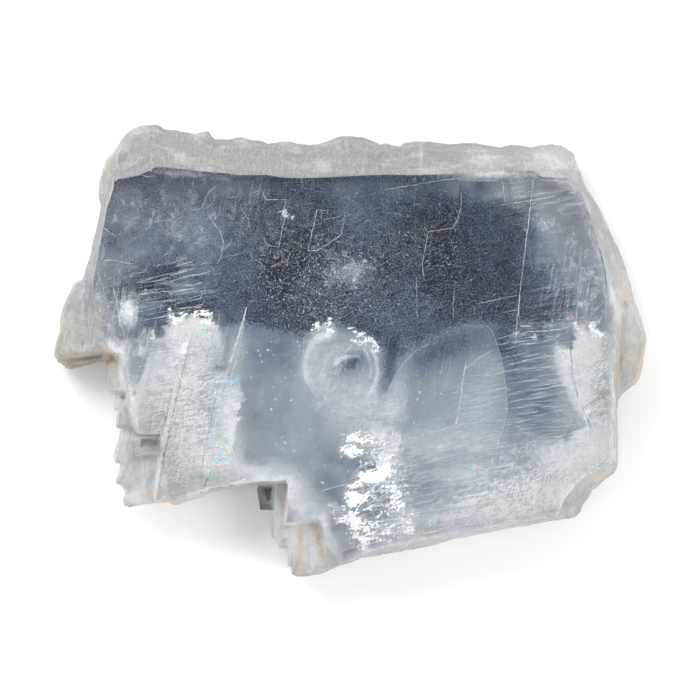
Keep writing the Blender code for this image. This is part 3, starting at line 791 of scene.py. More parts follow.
def retile(solid, faces, side, spacing):
    """Small even triangles in place of flat faces, with the same border."""
    height = faces[0].verts[0].co.z
    chosen = set(faces)
    border = [
        edge for face in faces for edge in face.edges
        if sum(1 for linked in edge.link_faces if linked in chosen) == 1
    ]
    # Kept in the border's own order, so that every run makes the same triangles
    corners = list(dict.fromkeys(vert for edge in border for vert in edge.verts))
    number = {vert: i for i, vert in enumerate(corners)}
    links = [(number[e.verts[0]], number[e.verts[1]]) for e in border]
    old_corners = [vert for face in faces for vert in face.verts]
    triangles = []
    for face in faces:
        triangles.append([len(triangles) * 3 + i for i in range(3)])
    old = BVHTree.FromPolygons([vert.co.copy() for vert in old_corners], triangles)
    near = KDTree(len(corners))
    for i, vert in enumerate(corners):
        near.insert(vert.co, i)
    near.balance()

    def on_old(x, y):
        return old.ray_cast(Vector((x, y, height + MM)), Vector((0, 0, -1)))[0]

    chance = random.Random(SEED)
    points = [Vector((vert.co.x, vert.co.y)) for vert in corners]
    low_x, high_x = min(p.x for p in points), max(p.x for p in points)
    low_y, high_y = min(p.y for p in points), max(p.y for p in points)
    rows = int((high_y - low_y) / spacing)
    columns = int((high_x - low_x) / spacing)
    for row in range(rows + 1):
        for column in range(columns + 1):
            right, up = (chance.uniform(-TILE_JITTER, TILE_JITTER) for _ in range(2))
            x = low_x + (column + 0.5 * (row % 2) + right) * spacing
            y = low_y + (row + up) * spacing
            if on_old(x, y) is None:
                continue
            if near.find(Vector((x, y, height)))[2] > 0.5 * spacing:
                points.append(Vector((x, y)))
    flat, _, tiles, origins, _, _ = delaunay_2d_cdt(points, links, [], 0, 1e-9)
    kept = []
    for tile in tiles:
        middle = sum((flat[i] for i in tile), Vector((0, 0))) / 3
        if on_old(middle.x, middle.y) is not None:
            kept.append(tile)
    bmesh.ops.delete(solid, geom=faces, context="FACES_KEEP_BOUNDARY")
    made = {}
    for i in {i for tile in kept for i in tile}:
        known = [old_one for old_one in origins[i] if old_one < len(corners)]
        if known:
            made[i] = corners[known[0]]
        else:
            made[i] = solid.verts.new((flat[i].x, flat[i].y, height))
    for tile in kept:
        order = tile if side == UPPER else tile[::-1]
        solid.faces.new([made[i] for i in order]).material_index = side


def lumps(place, height, size, seed):
    """Layered noise at a point, up to about height."""
    return height * noise.fractal(place / (size * MM) + Vector((seed,) * 3), 0.8, 2.2, 4)


def roughen(solid, bounds):
    """Fine broken relief on every face that isn't a cleavage face."""
    for longest, only_broken in LONGEST_EDGES:
        cuts = [
            edge for edge in solid.edges
            if edge.calc_length() > longest * MM and not (
                only_broken and any(f.material_index < BROKEN for f in edge.link_faces)
            )
        ]
        bmesh.ops.subdivide_edges(solid, edges=cuts, cuts=1)
        many_sided = [face for face in solid.faces if len(face.verts) > 3]
        bmesh.ops.triangulate(solid, faces=many_sided)
    solid.normal_update()
    low, high = bounds
    for vert in solid.verts:
        if any(face.material_index < BROKEN for face in vert.link_faces):
            continue
        place = vert.co
        stretched = Vector((place.x, place.y * 0.25, place.z * 1.2))
        lump = lumps(place, *COARSE_LUMPS) + lumps(stretched, *FINE_LUMPS)
        place = place + vert.normal * lump * MM
        for axis in range(3):
            place[axis] = min(max(place[axis], low[axis]), high[axis])
        vert.co = place


# Where the rims are stained, beige, pale (partly painted glints and painted light) or
# darkened with painted shade, and the upper face frosted
STAINS = [
    (72, 362, 26, 7, -6, 0.75), (113, 362, 7, 6, 0, 1.1), (103, 354, 12, 5, 0, 0.5),
    (58, 330, 4, 20, 10, 0.35), (168, 496, 20, 9, -8, 0.85), (176, 503, 10, 4, -8, 0.6),
    (122, 488, 5, 18, 0, 0.4), (126, 503, 8, 5, 0, 0.4), (616, 365, 3, 40, 2, 0.6),
    (641, 368, 5, 26, 8, 0.75), (625, 290, 6, 30, -18, 0.4), (600, 470, 24, 4, -32, 0.45),
    (580, 508, 8, 10, 20, 0.4), (300, 545, 4, 24, 2, 0.75), (317, 536, 4, 12, -14, 1.0),
    (322, 556, 4, 10, -10, 0.8), (285, 502, 4, 20, 0, 0.5), (130, 140, 8, 8, 30, 0.2),
]
BEIGE_PARTS = [
    (75, 330, 26, 34, 0, 0.75), (632, 345, 20, 60, 0, 1.0), (598, 480, 28, 26, 0, 0.55),
    (112, 385, 12, 30, 0, 0.6), (120, 145, 14, 30, 20, 0.45), (100, 200, 8, 50, 6, 0.5),
    (120, 470, 14, 40, 0, 0.45), (200, 495, 60, 8, -8, 0.5), (300, 550, 30, 34, 0, 0.5),
    (280, 510, 14, 30, 0, 0.5), (430, 545, 120, 8, -10, 0.35), (600, 220, 14, 60, -16, 0.4),
    (270, 167, 90, 5, 1, 0.45), (112, 155, 12, 30, 30, 0.45), (150, 150, 14, 8, 0, 0.3),
    (460, 165, 60, 4, 0, 0.25), (142, 486, 22, 20, 0, 0.35),
]
PALE_RIMS = [
    (148, 438, 13, 2, 0, 0.5), (264, 498, 10, 13, 0, 0.9), (80, 290, 6, 14, 0, 0.4),
    (282, 496, 5, 14, 0, 0.6), (292, 524, 10, 14, 0, 0.7), (318, 545, 14, 24, 0, 0.5),
    (484, 160, 16, 8, 0, 0.5), (421, 158, 1.6, 14, 0, 0.5), (190, 150, 20, 5, 0, 0.1),
    (552, 160, 24, 14, 0, 0.75), (625, 290, 8, 40, -16, 0.5), (632, 345, 14, 50, 0, 0.22),
    (72, 330, 22, 30, 0, 0.1), (120, 395, 10, 34, 0, 0.8), (120, 450, 12, 30, 0, 0.5),
    (148, 478, 24, 26, 0, 0.8), (140, 498, 22, 8, 0, 0.9), (280, 505, 10, 34, 0, 0.9),
    (304, 540, 26, 24, 0, 0.8), (200, 497, 50, 6, 0, 0.4), (460, 537, 120, 6, -8, 0.3),
    (112, 140, 10, 26, 30, 0.3), (200, 134, 10, 4, 0, 0.5), (600, 475, 26, 22, 0, 0.12),
    (119, 348, 9, 6, 0, 0.8), (123, 157, 7, 9, 0, 0.55), (625.5, 304, 4, 5, 0, 0.35),
    (612, 294, 3.5, 13, -14, 0.6), (617.5, 314, 3.5, 11, -6, 0.85),
    (603, 266, 4, 24, -12, 0.45), (104, 152, 5, 20, 34, 0.35), (132, 129, 14, 4, -10, 0.4),
    (157, 478, 4, 22, -4, 0.6),
]
PAINTED_SHADE_RIMS = [
    (148, 435, 13, 1.1, 0, 0.7), (148, 451, 12, 4, 0, 0.42), (148, 456, 13, 5, 0, 0.4),
    (131, 445, 4, 10, 0, 0.3), (264, 492, 4, 5, 0, 0.6), (131, 470, 3, 14, 10, 0.3),
    (274, 500, 2, 12, 0, 0.2), (289, 530, 3, 10, 0, 0.3), (308, 545, 2, 20, 0, 0.25),
    (440, 153, 22, 9, 0, 0.4), (136, 150, 16, 2, -12, 0.35), (124, 136, 8, 3, 0, 0.25),
    (153, 472, 3, 14, 8, 0.3), (128, 462, 2.5, 10, 8, 0.3), (98, 232, 5, 24, 6, 0.38),
    (86, 316, 9, 18, 0, 0.22),
]
FROSTED_PARTS = [
    (512, 171, 44, 8, 0, 0.45), (600, 440, 16, 40, 0, 0.15), (150, 470, 30, 40, 0, 0.1),
    (560, 180, 14, 8, 0, 0.3),
]


def dress_slab(node, bounds):
    """The slab as a fine mesh, with its clear, painted-shade and frosted finishes."""
    mesh = node.data.copy()
    mesh.name = "clear_selenite_slab"
    mesh.materials.clear()
    for finish in (clear_cleavage_finish(), shaded_back_finish(), frosted_rim_finish()):
        mesh.materials.append(finish)
    solid = bmesh.new()
    solid.from_mesh(mesh)
    bmesh.ops.remove_doubles(solid, verts=solid.verts, dist=1e-6)
    solid.normal_update()
    for face in solid.faces:
        face.material_index = cleavage_side(face)
    for (_, side), faces in flat_groups(solid).items():
        retile(solid, faces, side, TILE_SPACING[side] * MM)
    roughen(solid, bounds)
    for face in solid.faces:
        face.smooth = True
    solid.to_mesh(mesh)
    solid.free()
    mesh.set_sharp_from_angle(angle=math.radians(SHARP_ANGLE))
    points = sheet_steps(mesh)
    paint(mesh, "dark_depth", depth_inside(points, DARK_FIELD))
    paint(mesh, "oval_depth", depth_inside(points, OVAL))
    paint(mesh, "shade_in", DARK_SHADE + blots(points, DARK_BLOTS))
    paint(mesh, "shade_out", PALE_SHADE + blots(points, PALE_BLOTS))
    paint(mesh, "shade_oval", OVAL_SHADE + blots(points, OVAL_BLOTS))
    for name, marks in {
        "streaky": STREAKY_PARTS, "film": FILMY_PARTS, "stain": STAINS, "beige": BEIGE_PARTS,
        "pale": PALE_RIMS, "painted_shade": PAINTED_SHADE_RIMS, "frost": FROSTED_PARTS,
    }.items():
        paint(mesh, name, np.clip(blots(points, marks), 0, 1))
    return add_piece("clear_selenite_slab", mesh)


# ---------------------------------------------------------------- inside the crystal


def flat_sheet(name, loop, height, spacing, relief=0.5, reach=SHEET_REACH, within=None):
    """A thin, slightly wavy sheet of small squares that covers a traced outline.

    What would pass the closed line called within is drawn back onto it.
    """
    outline = np.array(loop, float)
    low, high = outline.min(axis=0) - reach, outline.max(axis=0) + reach
    columns = int((high[0] - low[0]) / spacing) + 1
    rows = int((high[1] - low[1]) / spacing) + 1
    across, down = np.meshgrid(
        low[0] + np.arange(columns) * spacing, low[1] + np.arange(rows) * spacing
    )
    points = np.column_stack((across.ravel(), down.ravel()))
    inside = depth_inside(points, loop) > -reach
    if within:
        depth, border = nearest_on(points, within)
        points = np.where(depth[:, None] < 0, border, points)
        inside &= depth > -1.5 * spacing
    corners, number = [], {}
    for i in np.flatnonzero(inside):
        place = on_slab(points[i][0], points[i][1], height)
        wave = noise.noise(place / (WAVE_SIZE * MM) + Vector((height, 0, 0)))
        place.z += relief * MM * wave
        number[int(i)] = len(corners)
        corners.append(place)
    tiles = []
    for i in number:
        square = (i, i + columns, i + columns + 1, i + 1)
        if (i + 1) % columns and all(j in number for j in square):
            tiles.append([number[j] for j in square])
    mesh = bpy.data.meshes.new(name)
    mesh.from_pydata(corners, [], tiles)
    return mesh


def arcs(points, marks):
    """The sum of soft curved bands at each point."""
    total = np.zeros(len(points))
    for middle, radii, width, start, end, cover in marks:
        away = (points - np.array(middle)) / np.array(radii)
        off = (np.hypot(away[:, 0], away[:, 1]) - 1) * sum(radii) / 2
        angle = np.degrees(np.arctan2(away[:, 1], away[:, 0]))
        centre, half = (start + end) / 2, (end - start) / 2
        turn = np.abs((angle - centre + 180) % 360 - 180)
        total += cover * np.exp(-(off / width) ** 2) * soft_step(half - turn, 0, ARC_FADE)
    return total


FILM_PARTS = ("body", "wisps", "grain", "level", "upright", "crush", "ice")


def film(name, loop, finish, within, extra=0.0, curved=(), border=(), **parts):
    """One inner film over a traced outline, with marks for each of its patterns."""
    mesh = flat_sheet(name, loop, FILM_HEIGHTS[name], FILM_SPACING, within=within)
    points = sheet_steps(mesh)
    paint(mesh, "film_depth", depth_inside(points, loop) + extra)
    for part in FILM_PARTS:
        cover = blots(points, parts.get(part, ()))
        if part == "body":
            cover += arcs(points, curved)
            edge = np.exp(-(np.maximum(depth_inside(points, loop), 0) / BORDER_WIDTH) ** 2)
            cover += edge * np.clip(blots(points, border), 0, 1)
        paint(mesh, "film_" + part, np.clip(cover, 0, 1.5))
    mesh.materials.append(finish)
    return add_piece(name, mesh)


# How much of each pattern covers each film, as marks
LEFT_FILM = {
    "body": [
        (185, 375, 34, 64, 10, 0.74), (215, 465, 44, 32, 0, 0.6), (200, 332, 20, 14, 0, 0.3),
        (150, 400, 18, 50, 8, 0.15), (150, 480, 28, 24, 0, 0.55), (264, 478, 24, 12, 14, 0.85),
        (138, 400, 14, 52, 6, 0.55), (205, 322, 22, 12, 0, 0.48), (176, 332, 12, 14, 0, 0.5),
        (224, 358, 7, 16, 8, -0.16), (190, 440, 30, 40, 10, 0.22), (232, 425, 14, 40, 0, 0.55),
        (150, 362, 5, 20, 8, -0.22), (137, 366, 4, 12, 12, -0.4), (146, 312, 8, 16, 8, -0.2),
        (236, 400, 10, 30, 0, 0.35), (180, 402, 12, 24, 8, -0.1),
    ],
    "wisps": [(190, 400, 50, 80, 8, 0.2), (140, 350, 22, 30, 0, 0.5)],
    "crush": [(190, 400, 60, 90, 8, 0.4), (150, 480, 40, 30, 0, 0.3)],
    "upright": [(180, 410, 40, 90, 10, 0.26), (130, 330, 24, 36, 0, 0.5)],
    "level": [(200, 400, 60, 80, 0, 0.34), (150, 380, 20, 40, 0, 0.3)],
    "ice": [(215, 470, 60, 30, -6, 0.7), (190, 380, 40, 70, 8, 0.3)],
}
RIGHT_FILM = {
    "body": [
        (590, 358, 26, 38, 0, 0.92), (564, 356, 10, 16, -20, 0.62), (582, 338, 14, 14, 0, 0.5),
        (598, 430, 24, 38, 0, 0.62), (580, 400, 12, 20, 0, 0.35), (580, 456, 40, 24, -14, 0.64),
        (505, 496, 64, 26, -8, 0.56), (564, 496, 32, 26, -20, 0.5),
        (450, 517, 46, 14, -8, 0.38), (600, 320, 12, 20, 0, 0.5), (608, 440, 8, 40, 0, 0.25),
        (510, 515, 44, 8, -8, 0.3), (425, 480, 22, 10, -12, -0.15),
        (600, 408, 12, 14, 0, -0.16),
    ],
    "wisps": [(520, 490, 80, 34, -8, 0.4), (595, 420, 24, 60, 0, 0.3)],
    "crush": [(520, 490, 90, 40, -8, 0.5), (590, 380, 30, 60, 0, 0.6)],
    "upright": [(530, 495, 60, 30, 0, 0.34), (590, 450, 24, 40, 0, 0.2)],
    "level": [(470, 500, 60, 34, 0, 0.4), (570, 430, 50, 40, 0, 0.45)],
    "ice": [
        (588, 366, 28, 36, 0, 1.25), (565, 460, 54, 30, -10, 1.0), (500, 505, 70, 26, -8, 0.6),
    ],
}
FRONT_FILM = {
    "body": [
        (378, 436, 22, 12, 0, 0.56), (350, 505, 12, 16, 0, 0.15), (360, 538, 26, 10, -6, 0.35),
        (388, 462, 11, 24, 0, 0.3), (404, 520, 20, 22, 0, 0.42), (336, 508, 8, 14, 0, 0.35),
        (396, 440, 8, 14, 0, 0.22),
    ],
    "wisps": [(370, 490, 40, 60, 0, 0.6)],
    "crush": [(385, 490, 36, 60, 0, 0.6)],
    "level": [(380, 490, 40, 60, 0, 0.6)],
    "upright": [(395, 480, 20, 60, 0, 0.5)],
    "ice": [(370, 490, 36, 60, 0, 1.1)],
}
FACE_FILM = {
    "body": [
        (150, 215, 56, 42, 0, 0.13), (122, 205, 16, 28, 8, 0.1), (518, 190, 16, 14, 0, 0.3),
        (98, 296, 8, 36, 0, 0.22), (111, 322, 7, 24, -14, 0.28), (555, 200, 26, 30, 0, 0.1),
        (562, 250, 24, 44, 0, 0.1), (352, 272, 16, 9, -15, 0.34), (208, 240, 12, 26, 24, 0.1),
        (192, 228, 14, 22, 30, 0.08), (129, 311, 8, 12, 5, 0.85), (118, 262, 20, 12, 0, 0.12),
        (395, 405, 10, 22, 12, 0.25), (440, 446, 60, 16, -8, 0.32),
        (548, 452, 30, 12, -8, 0.34), (500, 448, 16, 10, -8, 0.2), (290, 505, 12, 18, 0, 0.2),
        (470, 400, 30, 50, 0, 0.1), (596, 270, 10, 40, -10, 0.14), (410, 520, 30, 20, 0, 0.2),
        (302, 500, 12, 26, 0, 0.42), (608, 320, 6, 22, 0, 0.22), (236, 352, 9, 24, 8, 0.34),
        (324, 336, 12, 6, -14, 0.45), (340, 368, 32, 30, 0, 0.19), (512, 172, 50, 6, 2, 0.45),
        (420, 500, 26, 26, 0, 0.1), (280, 470, 20, 12, 20, 0.45), (322, 524, 10, 16, 0, 0.5),
        (338, 540, 10, 12, 0, 0.35), (346, 410, 40, 22, 0, 0.2), (580, 410, 14, 24, 0, 0.4),
        (546, 450, 24, 14, 0, 0.2), (126, 352, 8, 16, 8, 0.48), (136, 402, 10, 36, 8, 0.42),
        (156, 364, 14, 22, 8, 0.36), (480, 173, 28, 4.5, 0, 0.75), (218, 338, 6, 16, 0, 0.55),
        (238, 440, 9, 36, 0, 0.4), (566, 376, 9, 24, -24, 0.55), (322, 384, 10, 18, 0, 0.16),
        (380, 412, 22, 14, 0, 0.22), (460, 472, 44, 8, -8, 0.25), (290, 492, 12, 14, 0, 0.34),
        (320, 508, 14, 12, 30, 0.25), (225, 405, 10, 40, 8, 0.2), (462, 478, 30, 8, -10, 0.15),
        (357, 366, 9, 7, -30, -0.22), (540, 300, 18, 26, 0, -0.1), (381, 372, 5, 16, 0, 0.16),
        (362, 392, 16, 12, 0, 0.16), (584, 300, 12, 36, -10, 0.13), (562, 412, 10, 14, 0, 0.16),
        (250, 469, 18, 8, 10, 0.46), (340, 472, 10, 10, 0, 0.14), (185, 489, 20, 6, -8, 0.24),
        (112, 344, 8, 8, 30, 0.55), (116, 352, 6, 4, 0, 0.4), (613, 405, 4, 50, 0, 0.5),
        (612, 452, 6, 16, 0, 0.4), (574, 487, 16, 6, -40, 0.6), (564, 502, 6, 10, 20, 0.5),
        (340, 350, 12, 8, -20, 0.18), (182, 173, 34, 4.5, 6, 0.3), (480, 177, 34, 6, 0, 0.18),
        (342, 330, 9, 5, 0, -0.22), (362, 349, 10, 6, 34, 0.22), (112, 288, 12, 10, 0, 0.1),
        (302, 514, 12, 10, 0, 0.2), (163, 478, 5, 24, -4, 0.45), (340, 490, 10, 10, 0, 0.14),
        (382, 530, 10, 8, 0, 0.15), (322, 530, 8, 10, 0, 0.15), (480, 450, 10, 8, 0, 0.12),
    ],
    "wisps": [
        (150, 225, 70, 60, 0, 0.36), (350, 275, 34, 26, -12, 0.55), (240, 225, 50, 50, 0, 0.26),
        (400, 230, 60, 50, 0, 0.16), (560, 240, 40, 70, 0, 0.3), (300, 250, 40, 50, 0, 0.14),
        (350, 400, 120, 50, 0, 0.12), (120, 310, 30, 34, 0, 0.35), (590, 300, 20, 40, 0, 0.5),
        (405, 345, 30, 14, -20, 0.3), (342, 362, 34, 34, 0, 0.28), (540, 480, 70, 34, -8, 0.35),
    ],
    "grain": [
        (430, 255, 120, 80, 0, 0.46), (300, 250, 60, 80, 0, 0.4), (150, 230, 60, 60, 0, 0.1),
        (350, 310, 90, 24, 0, 0.32), (235, 290, 60, 34, 0, 0.24), (500, 320, 60, 20, 0, 0.2),
    ],
    "level": [
        (180, 292, 44, 26, 0, 0.32), (535, 390, 34, 54, 0, 0.36), (550, 200, 40, 24, 0, 0.4),
        (480, 400, 34, 44, 0, 0.22), (120, 300, 30, 40, 0, 0.2), (430, 480, 50, 50, 0, 0.25),
        (375, 415, 24, 20, 0, 0.3), (560, 300, 34, 40, 0, 0.25),
    ],
    "upright": [
        (120, 310, 24, 50, 0, 0.35), (570, 290, 34, 60, 0, 0.3), (235, 210, 60, 40, 0, 0.2),
        (430, 360, 50, 34, 0, 0.12), (300, 380, 60, 60, 0, 0.05), (180, 420, 40, 60, 8, 0.25),
    ],
}
# A hazy leaf over the small square hollow, glowing a little: painted light on the hollow's
# shade
LEAF_LINE = [(134, 436), (161, 435), (161, 455), (134, 456)]
LEAF_FILM = {
    "body": [
        (148, 446, 22, 14, 0, 0.2), (148, 438, 14, 1.8, 0, 0.3), (148, 444.5, 12, 2.0, 0, 0.1),
    ],
    "level": [(148, 450, 14, 5, 0, 0.26)],
}
# Where the border of the face is frosted
FROSTED_BORDER = [
    (602, 300, 34, 110, -6, 0.55), (470, 540, 170, 30, -8, 0.85), (595, 480, 40, 40, 0, 0.6),
    (128, 400, 26, 80, 0, 0.8), (220, 490, 90, 20, -8, 0.8), (575, 182, 30, 16, 20, 0.6),
    (310, 520, 34, 34, 0, 0.15), (100, 300, 10, 50, 0, 0.12), (612, 420, 8, 60, 0, 0.4),
    (601, 305, 10, 30, -8, -0.4),
]
# The bruise, as curved bands: middle, radii, width, from and to angle, cover. The angles
# are in degrees and run clockwise from the right.
BRUISE_ARCS = [
    ((345, 366), (39, 37), 4.2, 140, 250, 0.42), ((345, 366), (41, 40), 1.3, 125, 240, 0.20),
    ((345, 366), (33, 31), 1.6, 150, 225, 0.20), ((348, 370), (25, 25), 1.8, 160, 235, 0.22),
    ((343, 370), (34, 38), 2.2, -50, 55, 0.50), ((343, 370), (28, 32), 1.4, -55, 30, 0.32),
    ((341, 372), (22, 26), 1.4, -60, 20, 0.20), ((345, 366), (36, 34), 3.6, 228, 268, 0.18),
    ((352, 370), (18, 14), 1.6, 185, 300, 0.45), ((356, 376), (26, 22), 1.4, 190, 260, 0.25),
    ((346, 392), (24, 12), 1.4, 40, 140, 0.14), ((352, 400), (30, 14), 1.3, 40, 140, 0.14),
    ((356, 410), (30, 12), 1.3, 40, 140, 0.14), ((358, 420), (30, 10), 1.3, 40, 140, 0.12),
]
# The border of the clear upper face
FACE_LINE = [
    (115, 180), (125, 179), (140, 176), (150, 171), (156, 168), (172, 168.5), (200, 172),
    (225, 174), (240, 176), (270, 176), (280, 178), (300, 179), (330, 178), (355, 176.5),
    (390, 175.5), (455, 175), (480, 173), (503, 171), (533, 172), (541, 178), (568, 180),
    (576.5, 187.5), (582, 197), (589, 216), (598, 245), (603, 265), (607, 295), (609, 311),
    (615, 340), (613, 360), (612.5, 385), (614.5, 400), (614, 410), (615, 460), (600, 468),
    (585.5, 476), (573.5, 485.5), (563.5, 499.5), (557.5, 515), (530, 520), (480, 529.5),
    (450, 533), (440, 536.5), (410, 541), (385, 547), (358, 554), (342, 561), (333.5, 549.5),
    (328.5, 539.5), (321.5, 519.5), (314, 518.5), (287, 522), (288.5, 480), (262, 480.5),
    (225, 486.5), (210, 489), (188, 497.5), (176, 500), (166, 498), (157, 499.5),
    (160.5, 470), (162, 452), (161.5, 433.5), (138.5, 433.5), (133.5, 425), (130.5, 410),
    (130, 400), (125.5, 378), (121, 354), (116, 352), (109.5, 348.5), (105.5, 340),
    (104.5, 330), (99.5, 310), (94.5, 293), (93.5, 281), (98, 262), (104.5, 225), (108, 208),
    (113.5, 190),
]


def build_films():
    """The splits at three depths, the haze below the upper face, and the painted-light leaf."""
    white = film_finish("white_inner_film", ("level", "upright", "crush", "ice"))
    haze = film_finish("hazy_face_film", ("grain", "level", "upright"))
    return [
        film("left_white_film", VEIL_LEFT, white, FACE_LINE, **LEFT_FILM),
        film("right_white_film", VEIL_RIGHT, white, FACE_LINE, **RIGHT_FILM),
        film("front_white_film", VEIL_FRONT, white, FACE_LINE, **FRONT_FILM),
        film("face_film", FACE_LINE, haze, FACE_LINE, WHOLE_SHEET,
             BRUISE_ARCS, FROSTED_BORDER, **FACE_FILM),
        film("hollow_leaf_painted_light", LEAF_LINE, haze, LEAF_LINE, WHOLE_SHEET, **LEAF_FILM),
    ]


# Loose flakes with painted glints: outline, height above the base in millimetres, brightness
FLAKES = [
    ([(346, 435), (350, 433.5), (356, 434.5), (362, 436), (370, 437), (374, 435), (375, 438),
      (370, 440), (362, 441), (357, 443), (352, 441), (348, 442), (345, 440)], 13.0, 1.0),
    ([(342, 446), (347, 444.5), (352, 445), (356, 448), (358, 450), (363, 452), (358, 454),
      (350, 455), (345, 453), (342, 450)], 12.0, 1.0),
    ([(348, 486), (352, 483), (360, 481), (361, 477), (357, 474), (360, 471), (368, 470),
      (377, 468), (382, 466), (388, 462), (391, 468), (389, 476), (384, 480), (376, 481),
      (368, 482), (362, 486), (356, 489), (350, 488)], 12.5, 1.0),
    ([(346, 494), (352, 492), (358, 491), (364, 492), (368, 496), (365, 500), (360, 504),
      (357, 509), (350, 507), (346, 509), (344, 506), (347, 500)], 11.5, 1.0),
    ([(390, 486), (394, 485), (399, 490), (401, 497), (398, 499), (394, 494),
      (391, 491)], 12.0, 1.0),
    ([(391, 499), (397, 497), (402, 501), (403, 506), (398, 508), (393, 506)], 11.0, 1.0),
    ([(338, 517), (345, 514), (352, 511), (357, 511), (359, 516), (362, 519), (361, 524),
      (368, 524), (373, 521), (374, 527), (369, 532), (375, 534), (368, 535), (360, 530),
      (354, 529), (350, 526), (345, 523), (341, 520)], 12.5, 0.85),
    ([(355, 534), (362, 535), (370, 535), (378, 537), (386, 540), (378, 541), (371, 540),
      (368, 543), (366, 549), (363, 551), (361, 547), (359, 541), (355, 538)], 10.0, 1.0),
    ([(381, 531), (386, 527), (391, 526), (391, 530), (386, 536), (382, 537)], 11.5, 1.0),
    ([(405, 530), (409, 522), (412, 520), (411, 527), (413, 532), (408, 534),
      (402, 535)], 11.0, 1.0),
    ([(376, 452), (388, 453), (391, 462), (392, 475), (380, 478), (374, 470),
      (377, 460)], 10.5, 0.5),
    ([(313, 328), (316, 324), (320, 324), (321, 327), (317, 331), (313, 331)], 12.5, 1.0),
    ([(326, 326), (329, 321), (331, 320), (331, 324), (328, 327)], 12.5, 1.0),
    ([(327, 335), (330, 329), (332, 327), (332, 331), (329, 335)], 12.3, 1.0),
    ([(350, 329), (354, 330), (362, 334.5), (370, 339), (375, 342), (378, 346), (378, 350),
      (376, 353), (374, 349), (372, 347), (376, 348), (374, 343), (369, 341), (360, 337),
      (353, 332)], 13.0, 1.0),
    ([(351, 338), (358, 341), (366, 345), (360, 344), (352, 340)], 12.0, 1.0),
    ([(170, 309), (172, 315), (176, 317), (181, 316), (185, 313), (188, 312), (186, 317),
      (181, 320), (182, 324), (178, 325), (174, 326), (171, 321), (169, 315)], 14.0, 1.0),
    ([(194, 314), (196, 312), (199, 311.5), (198, 314), (195, 316.5)], 14.0, 1.0),
    ([(202, 312), (206, 311), (211, 313), (213, 316), (208, 315.5), (204, 315)], 14.0, 1.0),
    ([(198, 320), (203, 319), (208, 318), (213, 320), (215, 325), (214, 330),
      (206, 326)], 13.0, 0.55),
    ([(120, 303), (123, 301), (126, 304), (132, 306), (137, 305), (138, 310), (136, 318),
      (134, 326), (129, 327), (124, 320), (121, 312)], 12.8, 0.45),
    ([(153, 330), (155, 334), (157, 340), (153, 339), (150, 341), (151, 335)], 13.0, 0.6),
    ([(573, 325), (579, 327), (580, 330), (575, 329)], 14.0, 1.0),
    ([(589, 328), (593, 330), (600, 332), (602, 336), (598, 336), (592, 334)], 14.0, 1.0),
    ([(281, 213), (285, 211), (288, 214), (295, 216), (290, 218), (283, 219)], 15.0, 0.6),
]
# The silver patch of painted glints, where more crumbs of flake lie between the large ones
SILVER = [
    (343, 434), (356, 430), (372, 430), (388, 440), (400, 452), (404, 470), (408, 492),
    (414, 512), (414, 530), (404, 538), (386, 543), (366, 552), (354, 548), (344, 532),
    (334, 522), (328, 516), (330, 504), (342, 508), (344, 492), (346, 480), (356, 470),
    (362, 460), (346, 456), (340, 446),
]


def joined_sheets(name, sheets, finish):
    """One piece of many small sheets. Each comes with what is painted at its corners."""
    corners, tiles, painted = [], [], {}
    for mesh, values in sheets:
        start = len(corners)
        corners.extend(vert.co.copy() for vert in mesh.vertices)
        tiles.extend([start + i for i in tile.vertices] for tile in mesh.polygons)
        for label, numbers in values.items():
            painted.setdefault(label, []).extend(numbers)
        bpy.data.meshes.remove(mesh)
    mesh = bpy.data.meshes.new(name)
    mesh.from_pydata(corners, [], tiles)
    for label, numbers in painted.items():
        paint(mesh, label, numbers)
    mesh.materials.append(finish)
    return add_piece(name, mesh)


def build_flakes():
    """Small sheets, one for each flake, torn along their edges by the finish."""
    sheets = []
    for loop, height, brightness in [*FLAKES, (SILVER, SILVER_HEIGHT, 1.0)]:
        mesh = flat_sheet("flake", loop, height, FLAKE_SPACING, relief=0.25)
        inside = depth_inside(sheet_steps(mesh), loop)
        if loop is SILVER:
            inside = CRUMB_DEPTH + np.minimum(inside, 0)
        glow = np.full(len(inside), brightness)
        sheets.append((mesh, {"flake_depth": inside, "glow": glow}))
    return joined_sheets("cleavage_flakes", sheets, bright_flake_finish())


